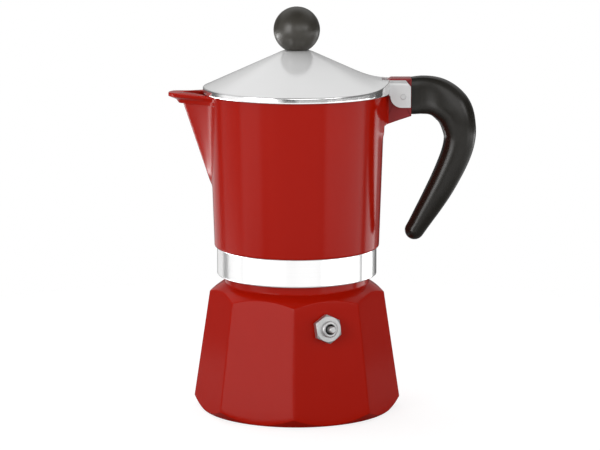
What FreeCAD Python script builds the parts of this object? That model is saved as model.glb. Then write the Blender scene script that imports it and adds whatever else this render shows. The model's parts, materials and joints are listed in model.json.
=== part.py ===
import FreeCAD, Part
import math
import os

from FreeCAD import Placement, Rotation, Vector

# Moka pot, millimetres. Z is the pot's axis with the table at 0, +X points to the handle, -X to the spout.

FIT = 0.05                  # radial clearance of a running or drilled fit
EDGE = 0.4                  # small rounding of cast and pressed edges
PAST = 1.0                  # how far a cutting tool runs past the face that it opens

# Boiler
BOILER_SIDES = 8
BOILER_TURN = -1.5          # degrees that the tightened boiler's corners stand off the handle's line
BOILER_CORNER_FOOT = 46.3   # corner radius at the table
BOILER_CORNER_SHOULDER = 38.58
BOILER_CORNER_ROUND = 1.6
SHOULDER_Z = 51.2           # height of the corners' upper end
SHOULDER_SLOPE = 0.7        # rise of the turned shoulder per unit of radius
FOOT_RADIUS = 42.3
FOOT_TURN_HEIGHT = 4.8      # the turned foot meets the corners at this height
FOOT_EDGE_ROUND = 1.2
FOOT_TURN_ROUND = 3.0
BOILER_WALL = 3.0
BOILER_FLOOR = 3.2
CHAMBER_FLOOR_ROUND = 4.0
CHAMBER_ROOF_ROUND = 2.0
CHAMBER_ROOF = (-2.5, 2.6)  # outer and inner height of the chamber's slanting roof, from the shoulder
NECK_RADIUS = 31.8
NECK_BORE = 26.2
NECK_TOP = 66.6
NECK_ROOT_ROUND = 0.8
NECK_EDGE_ROUND = 0.6

# Relief valve, measured along its own axis from the face of the facet
VALVE_Z = 41.9
VALVE_ASIDE = 0.8           # off the middle of its facet, towards the spout
VALVE_HEX_FLATS = 11.0
VALVE_HEX_DEPTH = 3.0
VALVE_HEX_TURN = 4.0        # degrees that the tightened hexagon stands off the level
VALVE_FACE_RADIUS = 5.4     # round face that the chamfer leaves on the hexagon
VALVE_CHAMFER_SLOPE = 0.54
VALVE_WASHER_RADIUS = 5.3
VALVE_WASHER_DEPTH = 0.7
VALVE_BOSS_RADIUS = 3.45
VALVE_BOSS_END = 5.6
VALVE_BOSS_ROUND = 0.5
VALVE_BORE = 2.35
VALVE_SHANK_RADIUS = 4.4
VALVE_SHANK_END = -7.0
VALVE_HOLE_DEPTH = 12.0     # drilling through the boiler's wall
VALVE_SEAT = -3.4
VALVE_INLET = 1.2
VALVE_SEAL_RADIUS = 2.05
VALVE_SEAL_DEPTH = 0.8
VALVE_FLANGE_RADIUS = 2.15
VALVE_FLANGE_DEPTH = 1.0
VALVE_PIN_RADIUS = 1.5
VALVE_PIN_END = 9.0
VALVE_PIN_ROUND = 0.5
VALVE_RETAINER_BACK = 2.6
VALVE_RETAINER_DEPTH = 0.7
SPRING_WIRE = 0.4
SPRING_RADIUS = 1.88
SPRING_TURNS = 4
SPRING_STEPS = 4            # biarcs in a turn
FLANGE_BACK = VALVE_SEAT + VALVE_SEAL_DEPTH
FLANGE_FRONT = FLANGE_BACK + VALVE_FLANGE_DEPTH

# Funnel
FUNNEL_FLANGE_RADIUS = 29.8
FUNNEL_FLANGE_DEPTH = 0.9
FUNNEL_FLANGE_ROUND = 0.3
FUNNEL_MOUTH_ROUND = 0.6
FUNNEL_BASKET = 25.8
FUNNEL_BASKET_ROUND = 1.2
FUNNEL_SHEET = 0.7
FUNNEL_FLOOR = 43.6
FUNNEL_LEDGE = 1.0          # width and height of the step that carries the perforated floor
FUNNEL_STEM = 4.6
FUNNEL_STEM_ROUND = 2.0
FUNNEL_CONE_END = 35.3
FUNNEL_CONE_RISE = 0.5      # the cone's inner face stands this much above its outer face
FUNNEL_STEM_END = 7.5
PLATE_SEAT = FUNNEL_FLOOR + FUNNEL_LEDGE
PLATE_DEPTH = 0.8
PLATE_HOLE = 0.75
PLATE_RINGS = 3
PLATE_RING_HOLES = 6        # holes in the first ring, and added in each next one
PLATE_BORDER = 3.75         # from the outer ring of holes to the plate's edge

# Gasket and filter plate
GASKET_OUTER = 32.4
GASKET_INNER = 25.0
GASKET_DEPTH = 3.8
GASKET_ROUND = 0.5
FILTER_RADIUS = 26.5
GASKET_BOTTOM = NECK_TOP + FUNNEL_FLANGE_DEPTH
GASKET_TOP = GASKET_BOTTOM + GASKET_DEPTH

# Jug
COLLAR_RADIUS = 35.1
COLLAR_BORE = 33.0
COLLAR_BOTTOM = 59.7
JUG_BOTTOM = 71.9
JUG_RADIUS_BOTTOM = 36.2
JUG_BOTTOM_ROUND = 1.1
JUG_RADIUS_RIM = 38.5
JUG_RIM = 141.6
JUG_WALL = 1.9
JUG_FLOOR = 75.4
JUG_FLOOR_ROUND = 3.0
COLUMN_FOOT_RADIUS = 9.0
COLUMN_FOOT_HEIGHT = 2.0
COLUMN_TOP_RADIUS = 6.0
COLUMN_TOP = 120.9
COLUMN_ROUND = 3.0
COLUMN_ROOF = 3.0           # metal left over the column's bore
COLUMN_BORE = 3.6
COLUMN_FLARE = 2.0          # how far inside the filter plate's edge the column's flared mouth starts
COLUMN_FLARE_DROP = 0.5     # from the jug's floor down to the flare's upper end
COLUMN_WINDOW = (3.4, 7.0)  # width and height of the two outlets near the column's top

# Spout: a V in plan whose keel leans out as it rises, from a point low on the wall
SPOUT_TOP = 139.5
SPOUT_FOOT = 94.7
SPOUT_KEEL_TOP = 51.0
SPOUT_KEEL_FOOT = 36.1
SPOUT_HALF_TOP = 12.5       # half width where it leaves the jug
SPOUT_HALF_FOOT = 3.5
SPOUT_KEEL_ROUND = 3.2
SPOUT_KEEL_THINNING = 0.8   # share of the wall by which the channel's point is sharper than the keel
SPOUT_ROOT_ROUND = 11.0     # hollow beside the spout at its top
SPOUT_ROOT_SPREAD = 18.0    # degrees of the wall over which that hollow may run
SPOUT_BACK = 20.0
SPOUT_CHANNEL_RISE = 5.0    # how far the channel's tool is carried above the spout
LIP_REACH = 56.0
LIP_HALF = 13.6
LIP_UNDERSIDE = 138.3
LIP_SLANT_END = 136.9       # the lip's underside slants back to the bead
BEAD_REACH = 52.6
BEAD_HALF = 12.9
BEAD_UNDERSIDE = 135.3
BEAD_TAPER = 1.2

# Hinge and bracket
PIN_X = 46.2
PIN_Z = 138.6
PIN_RADIUS = 1.3
PIN_LENGTH = 14.0
PIN_ROUND = 0.3
RIB_HALF = 4.2
RIB_TOP = 146.2
RIB_FRONT = 39.8
RIB_FRONT_ROUND = 1.6
RIB_FRONT_FOOT = 139.6      # where the rib's front stands on the jug's rim
RIB_FOOT_ROUND = 1.0
RIB_END = 49.9
RIB_ROOT_BOTTOM = 125.8
RIB_END_BOTTOM = 129.9
BRACKET_BACK = 30.0
FLARE_X = 39.6
FLARE_HALF = 20.0
FLARE_ROUND = 7.0
FLARE_DROP = 13.0           # run of the flare's lower corner inside the wall
FLARE_TOP = 138.4           # the flared root stays below the lid's ears
BOSS_RADIUS = 3.2
BOSS_HALF = 5.45
TANG_START = 47.9
TANG_END = 61.5
TANG_HALF = 2.6
TANG_BOTTOM = 133.9
TANG_TOP = 142.9
TANG_ROUND = 1.0

# Handle: a straight neck, a bend and a slow sweep to a rounded end
HANDLE_FRONT_Z = 138.35     # height of the middle of its front face
HANDLE_Z = 138.65           # height of the middle line before the bend
HANDLE_NECK_END = 54.6
HANDLE_BEND_X = 55.5
HANDLE_BEND_RADIUS = 15.9
HANDLE_BEND_TURNS = (22.0, 48.0, 74.0, 101.5)  # degrees turned at the bend's sections
HANDLE_SWEEP_RADIUS = 70.0
HANDLE_SWEEP_TURNS = (10.5, 21.0)
HANDLE_TIP = (51.9, 78.8)
HANDLE_TIP_RADIUS = 4.1
HANDLE_DOME = (20.0, 40.0, 58.0, 74.0)  # latitudes of the sections that round its end
HANDLE_SECTION_POINTS = 24
HANDLE_SECTIONS = [         # half height, half width and squareness (2 is an ellipse) along the middle line
    (8.15, RIB_HALF, 6.0),
    (8.15, RIB_HALF, 6.0),
    (8.3, 6.4, 4.0),
    (8.45, 7.6, 3.2),
    (7.85, 7.8, 3.0),
    (7.0, 7.5, 2.8),
    (6.35, 7.0, 2.6),
    (5.85, 6.2, 2.4),
    (4.9, 5.2, 2.2),
    (HANDLE_TIP_RADIUS, HANDLE_TIP_RADIUS, 2.0),
]
HANDLE_SCREW_X = 57.6
HANDLE_SCREW_RADIUS = 1.7
HANDLE_SCREW_TOP = 141.9
HANDLE_SCREW_HEAD = 3.1
HANDLE_SCREW_SEAT = 133.0
HANDLE_SCREW_BOTTOM = 131.0
HANDLE_SCREW_ROUND = 0.8
HANDLE_SCREW_POINT = 0.5
HANDLE_SCREW_ACCESS = 8.0   # depth of the hole below the screw

# Lid
LID_RADIUS = 40.9
LID_BOTTOM = 139.8
LID_SHOULDER = 142.2        # top of the upright rim
LID_TOP = 158.4
LID_TOP_RADIUS = 5.3
LID_SHEET = 1.2
LID_EDGE = 0.5
LID_SLOPE = (LID_TOP - LID_SHOULDER) / (LID_RADIUS - LID_TOP_RADIUS)
TAB_HALF = 6.8
TAB_TOP = 145.5
TAB_BEND = 1.6
TAB_RAMP_HALF = 23.6        # half width over which the rim rises to the tab
TAB_RAMP_ROUND = 6.0
TAB_START = 33.6
SLOT_HALF = 4.5
SLOT_END = 37.0
EAR_END = 49.5
EAR_BOTTOM = 133.8
EAR_LEFT = 40.6
EAR_STEP_BOTTOM = 139.0
EAR_ROUND = 5.0
EAR_CHAMFER = (2.1, 2.6)

# Knob
KNOB_RADIUS = 10.1
KNOB_Z = 167.1
KNOB_SCREW_RADIUS = 2.0
KNOB_SCREW_TOP = 165.8
KNOB_HEAD_RADIUS = 3.5
KNOB_HEAD_DEPTH = 2.2
KNOB_HEAD_ROUND = 1.0
KNOB_WASHER_RADIUS = 4.4
KNOB_WASHER_DEPTH = 0.8
LID_CEILING = LID_TOP - LID_SHEET * math.hypot(1, LID_SLOPE)
KNOB_SCREW_SEAT = LID_CEILING - KNOB_WASHER_DEPTH


def outline(points):
    """A closed wire through (a, b, radius) corners in the XZ plane, each corner rounded by its radius."""
    corners = [Vector(p[0], 0, p[1]) for p in points]
    radii = [p[2] if len(p) > 2 else 0.0 for p in points]
    arcs = []
    for i, corner in enumerate(corners):
        if radii[i] == 0.0:
            arcs.append((corner, None, corner))
            continue
        before = (corners[i - 1] - corner).normalize()
        after = (corners[(i + 1) % len(corners)] - corner).normalize()
        half = before.getAngle(after) / 2
        reach = radii[i] / math.tan(half)
        inward = (before + after).normalize()
        middle = corner + inward * (radii[i] / math.sin(half) - radii[i])
        arcs.append((corner + before * reach, middle, corner + after * reach))
    edges = []
    for i, (start, middle, end) in enumerate(arcs):
        if middle is not None:
            edges.append(Part.Arc(start, middle, end).toShape())
        following = arcs[(i + 1) % len(arcs)][0]
        if (following - end).Length > 1e-6:
            edges.append(Part.LineSegment(end, following).toShape())
    return Part.Wire(edges)


def turned(points):
    """A solid of revolution about Z from (radius, height, rounding) corners."""
    face = Part.Face(outline(points))
    return face.revolve(Vector(0, 0, 0), Vector(0, 0, 1), 360)


def slab(points, half_width):
    """A plate across Y from (x, z, rounding) corners."""
    face = Part.Face(outline(points))
    face.translate(Vector(0, -half_width, 0))
    return face.extrude(Vector(0, 2 * half_width, 0))


def plan(points, z):
    """A level wire at a height from (x, y, rounding) corners."""
    wire = outline(points)
    wire.rotate(Vector(0, 0, 0), Vector(1, 0, 0), -90)
    wire.translate(Vector(0, 0, z))
    return wire


def channel(points, length):
    """A bar along +X from (y, z, rounding) corners."""
    wire = outline(points)
    wire.rotate(Vector(0, 0, 0), Vector(0, 0, 1), 90)
    return Part.Face(wire).extrude(Vector(length, 0, 0))


def rod(radius, bottom, top, x=0.0, y=0.0):
    """An upright cylinder."""
    return Part.makeCylinder(radius, top - bottom, Vector(x, y, bottom))


def ring(outer, inner, bottom, top):
    """A flat washer."""
    return rod(outer, bottom, top).cut(rod(inner, bottom - PAST, top + PAST))


def cross_rod(radius, half_length):
    """A cylinder on the hinge's axis."""
    start = Vector(PIN_X, -half_length, PIN_Z)
    return Part.makeCylinder(radius, 2 * half_length, start, Vector(0, 1, 0))


def perforated(radius, bottom):
    """A disc with rings of six, twelve, eighteen ... holes round a middle one."""
    top = bottom + PLATE_DEPTH
    step = (radius - PLATE_BORDER) / PLATE_RINGS
    holes = [rod(PLATE_HOLE, bottom - PAST, top + PAST)]
    for row in range(1, PLATE_RINGS + 1):
        count = PLATE_RING_HOLES * row
        for k in range(count):
            angle = 2 * math.pi * k / count
            x = row * step * math.cos(angle)
            y = row * step * math.sin(angle)
            holes.append(rod(PLATE_HOLE, bottom - PAST, top + PAST, x, y))
    return rod(radius, bottom, top).cut(holes)


BOILER_LEAN = (BOILER_CORNER_FOOT - BOILER_CORNER_SHOULDER) / SHOULDER_Z
FLAT = math.cos(math.pi / BOILER_SIDES)  # inradius of an octagon with a corner radius of 1


def boiler_corner(z):
    """Corner radius of the boiler's octagon at a height."""
    return BOILER_CORNER_FOOT - BOILER_LEAN * z


def octagon(z):
    """The boiler's octagon at a height, with corners on the axes before the boiler's own turn."""
    points = []
    for k in range(BOILER_SIDES + 1):
        angle = math.radians(BOILER_TURN + 360.0 * k / BOILER_SIDES)
        r = boiler_corner(z)
        points.append(Vector(r * math.cos(angle), r * math.sin(angle), z))
    return Part.makePolygon(points)


def valve_placement():
    """Where the valve's axis leaves the front right facet, square to it."""
    around = -90 + BOILER_TURN + 180.0 / BOILER_SIDES
    towards = math.radians(around - 90)
    upward = math.degrees(math.atan(BOILER_LEAN * FLAT))
    turn = Rotation(Vector(0, 0, 1), around).multiply(Rotation(Vector(0, 1, 0), 90 - upward))
    r = boiler_corner(VALVE_Z) * FLAT
    base = Vector(r * math.cos(math.radians(around)), r * math.sin(math.radians(around)), VALVE_Z)
    aside = Vector(math.cos(towards), math.sin(towards), 0) * VALVE_ASIDE
    return Placement(base + aside, turn)


def on_valve(shape):
    """A shape modelled along Z, set on the valve's axis."""
    shape.Placement = valve_placement().multiply(shape.Placement)
    return shape


def make_boiler():
    body = Part.makeLoft([octagon(0), octagon(NECK_TOP)], True, True)
    corners = []
    for edge in body.Edges:
        ends = [vertex.Point.z for vertex in edge.Vertexes]
        if abs(ends[0] - ends[1]) > PAST:
            corners.append(edge)
    body = body.makeFillet(BOILER_CORNER_ROUND, corners)
    reach = BOILER_CORNER_FOOT + PAST
    shoulder_outer = SHOULDER_Z - (reach - BOILER_CORNER_SHOULDER) * SHOULDER_SLOPE
    shoulder_inner = SHOULDER_Z + (BOILER_CORNER_SHOULDER - NECK_RADIUS) * SHOULDER_SLOPE
    lathe = turned([
        (0, 0),
        (FOOT_RADIUS, 0, FOOT_EDGE_ROUND),
        (BOILER_CORNER_FOOT, FOOT_TURN_HEIGHT, FOOT_TURN_ROUND),
        (reach, 2 * FOOT_TURN_HEIGHT),
        (reach, shoulder_outer),
        (NECK_RADIUS, shoulder_inner, NECK_ROOT_ROUND),
        (NECK_RADIUS, NECK_TOP, NECK_EDGE_ROUND),
        (0, NECK_TOP),
    ])
    body = body.common(lathe)
    low = boiler_corner(BOILER_FLOOR) * FLAT - BOILER_WALL
    high = boiler_corner(SHOULDER_Z) * FLAT - BOILER_WALL
    chamber = turned([
        (0, BOILER_FLOOR),
        (low, BOILER_FLOOR, CHAMBER_FLOOR_ROUND),
        (high, SHOULDER_Z + CHAMBER_ROOF[0], CHAMBER_ROOF_ROUND),
        (NECK_BORE, SHOULDER_Z + CHAMBER_ROOF[1], CHAMBER_ROOF_ROUND),
        (NECK_BORE, NECK_TOP + PAST),
        (0, NECK_TOP + PAST),
    ])
    hole = on_valve(rod(VALVE_SHANK_RADIUS + FIT, -VALVE_HOLE_DEPTH, PAST))
    return body.cut([chamber, hole]).removeSplitter()


def make_valve_body():
    face = VALVE_WASHER_DEPTH
    front = face + VALVE_HEX_DEPTH
    corner = VALVE_HEX_FLATS / 2 / math.cos(math.pi / 6)
    points = []
    for k in range(7):
        angle = math.radians(60 * k + VALVE_HEX_TURN)
        points.append(Vector(corner * math.cos(angle), corner * math.sin(angle), face))
    hexagon = Part.Face(Part.makePolygon(points)).extrude(Vector(0, 0, VALVE_HEX_DEPTH))
    drop = (VALVE_HEX_FLATS - VALVE_FACE_RADIUS) * VALVE_CHAMFER_SLOPE
    chamfer = turned([
        (0, face - PAST),
        (VALVE_HEX_FLATS, face - PAST),
        (VALVE_HEX_FLATS, front - drop),
        (VALVE_FACE_RADIUS, front),
        (0, front),
    ])
    boss = turned([
        (0, face),
        (VALVE_BOSS_RADIUS, face),
        (VALVE_BOSS_RADIUS, VALVE_BOSS_END, VALVE_BOSS_ROUND),
        (0, VALVE_BOSS_END),
    ])
    body = hexagon.common(chamfer).fuse([boss, rod(VALVE_SHANK_RADIUS, VALVE_SHANK_END, face)])
    bore = rod(VALVE_BORE, VALVE_SEAT, VALVE_BOSS_END + PAST)
    inlet = rod(VALVE_INLET, VALVE_SHANK_END - PAST, VALVE_SEAT)
    return on_valve(body.cut([bore, inlet]).removeSplitter())


def make_valve_washer():
    return on_valve(ring(VALVE_WASHER_RADIUS, VALVE_SHANK_RADIUS + FIT, 0, VALVE_WASHER_DEPTH))


def make_valve_seal():
    return on_valve(rod(VALVE_SEAL_RADIUS, VALVE_SEAT, FLANGE_BACK))


def make_valve_pin():
    pin = turned([
        (0, FLANGE_BACK),
        (VALVE_FLANGE_RADIUS, FLANGE_BACK),
        (VALVE_FLANGE_RADIUS, FLANGE_FRONT),
        (VALVE_PIN_RADIUS, FLANGE_FRONT),
        (VALVE_PIN_RADIUS, VALVE_PIN_END, VALVE_PIN_ROUND),
        (0, VALVE_PIN_END),
    ])
    return on_valve(pin)


def helix_point(radius, rise, turns):
    """The point and the unit heading on a helix about Z after a number of turns."""
    angle = 2 * math.pi * turns
    point = Vector(radius * math.cos(angle), radius * math.sin(angle), rise * turns)
    heading = Vector(-radius * math.sin(angle), radius * math.cos(angle), rise / (2 * math.pi))
    return point, heading.normalize()


def arc_about(start, corner, end):
    """The arc that leaves start towards a corner and reaches end from it, both equally far from it."""
    inward = (start - corner).normalize() + (end - corner).normalize()
    half = (start - corner).getAngle(end - corner) / 2
    side = (start - corner).Length
    middle = corner + inward.normalize() * (side / math.cos(half) - side * math.tan(half))
    return Part.Arc(start, middle, end).toShape()


def biarc(first, second):
    """Two tangent arcs between two points with headings."""
    (start, leave), (end, arrive) = first, second
    chord = end - start
    both = leave + arrive
    square = 2 * (1 - leave.dot(arrive))
    swing = chord.dot(both)
    side = (math.sqrt(swing ** 2 + square * chord.dot(chord)) - swing) / square
    corner_a = start + leave * side
    corner_b = end - arrive * side
    middle = (corner_a + corner_b) * 0.5
    return [arc_about(start, corner_a, middle), arc_about(middle, corner_b, end)]


def make_valve_spring():
    room = VALVE_RETAINER_BACK - FLANGE_FRONT - SPRING_WIRE
    rise = room / SPRING_TURNS
    steps = SPRING_TURNS * SPRING_STEPS
    stations = [helix_point(SPRING_RADIUS, rise, k / SPRING_STEPS) for k in range(steps + 1)]
    arcs = []
    for first, second in zip(stations, stations[1:]):
        arcs += biarc(first, second)
    start, heading = stations[0]
    wire = Part.Wire(Part.makeCircle(SPRING_WIRE / 2, start, heading))
    coil = Part.Wire(arcs).makePipeShell([wire], True, False)
    print("valve_spring gap between turns", round(rise - SPRING_WIRE, 2))
    coil.translate(Vector(0, 0, FLANGE_FRONT + SPRING_WIRE / 2))
    return on_valve(coil)


def make_valve_retainer():
    front = VALVE_RETAINER_BACK + VALVE_RETAINER_DEPTH
    return on_valve(ring(VALVE_BORE, VALVE_PIN_RADIUS + 2 * FIT, VALVE_RETAINER_BACK, front))


def make_funnel():
    inside = FUNNEL_BASKET - FUNNEL_SHEET
    pipe = FUNNEL_STEM - FUNNEL_SHEET
    return turned([
        (inside, GASKET_BOTTOM, FUNNEL_MOUTH_ROUND),
        (FUNNEL_FLANGE_RADIUS, GASKET_BOTTOM, FUNNEL_FLANGE_ROUND),
        (FUNNEL_FLANGE_RADIUS, NECK_TOP, FUNNEL_FLANGE_ROUND),
        (FUNNEL_BASKET, NECK_TOP),
        (FUNNEL_BASKET, FUNNEL_FLOOR, FUNNEL_BASKET_ROUND),
        (FUNNEL_STEM, FUNNEL_CONE_END, FUNNEL_STEM_ROUND),
        (FUNNEL_STEM, FUNNEL_STEM_END),
        (pipe, FUNNEL_STEM_END),
        (pipe, FUNNEL_CONE_END + FUNNEL_CONE_RISE, FUNNEL_STEM_ROUND),
        (inside - FUNNEL_LEDGE, FUNNEL_FLOOR + FUNNEL_CONE_RISE),
        (inside - FUNNEL_LEDGE, PLATE_SEAT),
        (inside, PLATE_SEAT),
    ])


def make_funnel_plate():
    return perforated(FUNNEL_BASKET - FUNNEL_SHEET - FIT, PLATE_SEAT)


def make_gasket():
    ledge = GASKET_TOP - PLATE_DEPTH
    return turned([
        (GASKET_INNER, GASKET_BOTTOM, GASKET_ROUND),
        (GASKET_OUTER, GASKET_BOTTOM, GASKET_ROUND),
        (GASKET_OUTER, GASKET_TOP, GASKET_ROUND),
        (FILTER_RADIUS + FIT, GASKET_TOP),
        (FILTER_RADIUS + FIT, ledge),
        (GASKET_INNER, ledge),
    ])


def make_filter_plate():
    return perforated(FILTER_RADIUS, GASKET_TOP - PLATE_DEPTH)


def jug_radius(z):
    """Outside radius of the jug's wall at a height."""
    share = (z - JUG_BOTTOM) / (JUG_RIM - JUG_BOTTOM)
    return JUG_RADIUS_BOTTOM + share * (JUG_RADIUS_RIM - JUG_RADIUS_BOTTOM)


def spout_plan(z, reach, half, inset=0.0):
    """A V in plan with a rounded point at the reach and hollow corners where it leaves the jug's wall."""
    side = half - inset
    root = math.sqrt(jug_radius(z) ** 2 - half ** 2) - inset
    keel = SPOUT_KEEL_ROUND - SPOUT_KEEL_THINNING * inset
    centre = reach - inset - keel
    lean = math.atan2(side, centre - root) - math.asin(keel / math.hypot(centre - root, side))
    point = root + side / math.tan(lean)
    hollow = SPOUT_ROOT_ROUND * half / SPOUT_HALF_TOP
    spread = math.atan2(side, root) + math.radians(SPOUT_ROOT_SPREAD)
    wall = math.hypot(root, side)
    back = (wall * math.cos(spread), wall * math.sin(spread))
    return plan([
        (-SPOUT_BACK, -back[1]),
        (-back[0], -back[1]),
        (-root, -side, hollow),
        (-point, 0, keel),
        (-root, side, hollow),
        (-back[0], back[1]),
        (-SPOUT_BACK, back[1]),
    ], z)


def spout_body(inset=0.0, above=0.0):
    """The spout's leaning V, brought in by an inset and carried past its top."""
    share = 1 + above / (SPOUT_TOP - SPOUT_FOOT)
    reach = SPOUT_KEEL_FOOT + share * (SPOUT_KEEL_TOP - SPOUT_KEEL_FOOT)
    half = SPOUT_HALF_FOOT + share * (SPOUT_HALF_TOP - SPOUT_HALF_FOOT)
    foot = spout_plan(SPOUT_FOOT, SPOUT_KEEL_FOOT, SPOUT_HALF_FOOT, inset)
    top = spout_plan(SPOUT_TOP + above, reach, half, inset)
    return Part.makeLoft([foot, top], True, True)


def spout_lip():
    """The pouring lip: a thin edge, its slanting underside and the bead below."""
    edge = spout_plan(SPOUT_TOP, LIP_REACH, LIP_HALF)
    edge_foot = spout_plan(LIP_UNDERSIDE, LIP_REACH, LIP_HALF)
    bead = spout_plan(LIP_SLANT_END, BEAD_REACH, BEAD_HALF)
    bead_foot = spout_plan(BEAD_UNDERSIDE, BEAD_REACH - BEAD_TAPER, SPOUT_HALF_TOP)
    return [Part.makeLoft(pair, True, True) for pair in ([edge_foot, edge], [bead, edge_foot], [bead_foot, bead])]


def bracket():
    """The hinge rib between the ears, on a root that flares into the jug's wall below them."""
    rib = slab([
        (BRACKET_BACK, RIB_ROOT_BOTTOM),
        (RIB_END, RIB_END_BOTTOM),
        (RIB_END, RIB_TOP),
        (RIB_FRONT, RIB_TOP, RIB_FRONT_ROUND),
        (RIB_FRONT, RIB_FRONT_FOOT, RIB_FOOT_ROUND),
        (BRACKET_BACK, RIB_FRONT_FOOT),
    ], RIB_HALF)
    flare = Part.Face(plan([
        (BRACKET_BACK, -FLARE_HALF),
        (FLARE_X, -RIB_HALF, FLARE_ROUND),
        (RIB_END, -RIB_HALF),
        (RIB_END, RIB_HALF),
        (FLARE_X, RIB_HALF, FLARE_ROUND),
        (BRACKET_BACK, FLARE_HALF),
    ], 0)).extrude(Vector(0, 0, RIB_TOP))
    side = slab([
        (BRACKET_BACK, RIB_ROOT_BOTTOM - FLARE_DROP),
        (jug_radius(RIB_ROOT_BOTTOM), RIB_ROOT_BOTTOM, FLARE_ROUND),
        (RIB_END, RIB_END_BOTTOM),
        (RIB_END, FLARE_TOP),
        (BRACKET_BACK, FLARE_TOP),
    ], FLARE_HALF)
    return [rib, flare.common(side)]


def make_jug():
    body = turned([
        (0, COLLAR_BOTTOM),
        (COLLAR_RADIUS, COLLAR_BOTTOM, EDGE),
        (COLLAR_RADIUS, JUG_BOTTOM),
        (JUG_RADIUS_BOTTOM, JUG_BOTTOM, JUG_BOTTOM_ROUND),
        (JUG_RADIUS_RIM, JUG_RIM, EDGE),
        (0, JUG_RIM),
    ])
    tang = slab([
        (TANG_START, TANG_BOTTOM),
        (TANG_END, TANG_BOTTOM, TANG_ROUND),
        (TANG_END, TANG_TOP, TANG_ROUND),
        (TANG_START, TANG_TOP),
    ], TANG_HALF)
    pivot = cross_rod(BOSS_RADIUS, BOSS_HALF)
    body = body.fuse([spout_body(), *spout_lip(), *bracket(), pivot, tang])
    rim_bore = JUG_RADIUS_RIM - JUG_WALL
    chamber = turned([
        (0, JUG_FLOOR),
        (JUG_RADIUS_BOTTOM - JUG_WALL, JUG_FLOOR, JUG_FLOOR_ROUND),
        (rim_bore, JUG_RIM),
        (rim_bore, RIB_TOP + PAST),
        (0, RIB_TOP + PAST),
    ])
    body = body.cut([chamber, spout_body(JUG_WALL, SPOUT_CHANNEL_RISE)])
    column = turned([
        (0, JUG_FLOOR - PAST),
        (COLUMN_FOOT_RADIUS, JUG_FLOOR - PAST),
        (COLUMN_FOOT_RADIUS, JUG_FLOOR + COLUMN_FOOT_HEIGHT),
        (COLUMN_TOP_RADIUS, COLUMN_TOP, COLUMN_ROUND),
        (0, COLUMN_TOP),
    ])
    body = body.fuse(column)
    bore_top = COLUMN_TOP - COLUMN_ROOF
    width, height = COLUMN_WINDOW
    window = Part.makeBox(width, 2 * COLUMN_FOOT_RADIUS, height)
    window.translate(Vector(-width / 2, -COLUMN_FOOT_RADIUS, bore_top - height))
    socket = turned([
        (0, COLLAR_BOTTOM - PAST),
        (COLLAR_BORE, COLLAR_BOTTOM - PAST),
        (COLLAR_BORE, GASKET_TOP),
        (FILTER_RADIUS - COLUMN_FLARE, GASKET_TOP),
        (COLUMN_BORE, JUG_FLOOR - COLUMN_FLARE_DROP, COLUMN_FLARE),
        (COLUMN_BORE, bore_top),
        (0, bore_top),
    ])
    screw = rod(HANDLE_SCREW_RADIUS, TANG_BOTTOM - PAST, HANDLE_SCREW_TOP, HANDLE_SCREW_X)
    pin = cross_rod(PIN_RADIUS, PIN_LENGTH)
    return body.cut([window, socket, screw, pin]).removeSplitter()


def on_arc(start, radius, turn):
    """A station (x, z, heading in degrees) after turning clockwise on an arc from another one."""
    x, z, heading = start
    a = math.radians(90 + heading)
    b = math.radians(90 + heading - turn)
    step_x = radius * (math.cos(b) - math.cos(a))
    step_z = radius * (math.sin(b) - math.sin(a))
    return x + step_x, z + step_z, heading - turn


def handle_path():
    """Stations down the handle's middle line."""
    stations = [(RIB_END, HANDLE_FRONT_Z, 0.0), (HANDLE_NECK_END, HANDLE_Z, 0.0)]
    bend = (HANDLE_BEND_X, HANDLE_Z, 0.0)
    stations += [on_arc(bend, HANDLE_BEND_RADIUS, turn) for turn in HANDLE_BEND_TURNS]
    sweep = stations[-1]
    stations += [on_arc(sweep, HANDLE_SWEEP_RADIUS, turn) for turn in HANDLE_SWEEP_TURNS]
    x, z, heading = stations[-1]
    stations.append(((x + HANDLE_TIP[0]) / 2, (z + HANDLE_TIP[1]) / 2, heading))
    stations.append((HANDLE_TIP[0], HANDLE_TIP[1], heading))
    return stations


def handle_section(station, size):
    """A closed superellipse square to the middle line."""
    x, z, heading = station
    half_height, half_width, square = size
    normal = Vector(-math.sin(math.radians(heading)), 0, math.cos(math.radians(heading)))
    points = []
    for k in range(HANDLE_SECTION_POINTS):
        angle = 2 * math.pi * k / HANDLE_SECTION_POINTS
        up = math.copysign(abs(math.cos(angle)) ** (2 / square), math.cos(angle)) * half_height
        across = math.copysign(abs(math.sin(angle)) ** (2 / square), math.sin(angle)) * half_width
        points.append(Vector(x, across, z) + normal * up)
    curve = Part.BSplineCurve()
    curve.interpolate(points, PeriodicFlag=True)
    return Part.Wire(curve.toShape())


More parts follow.
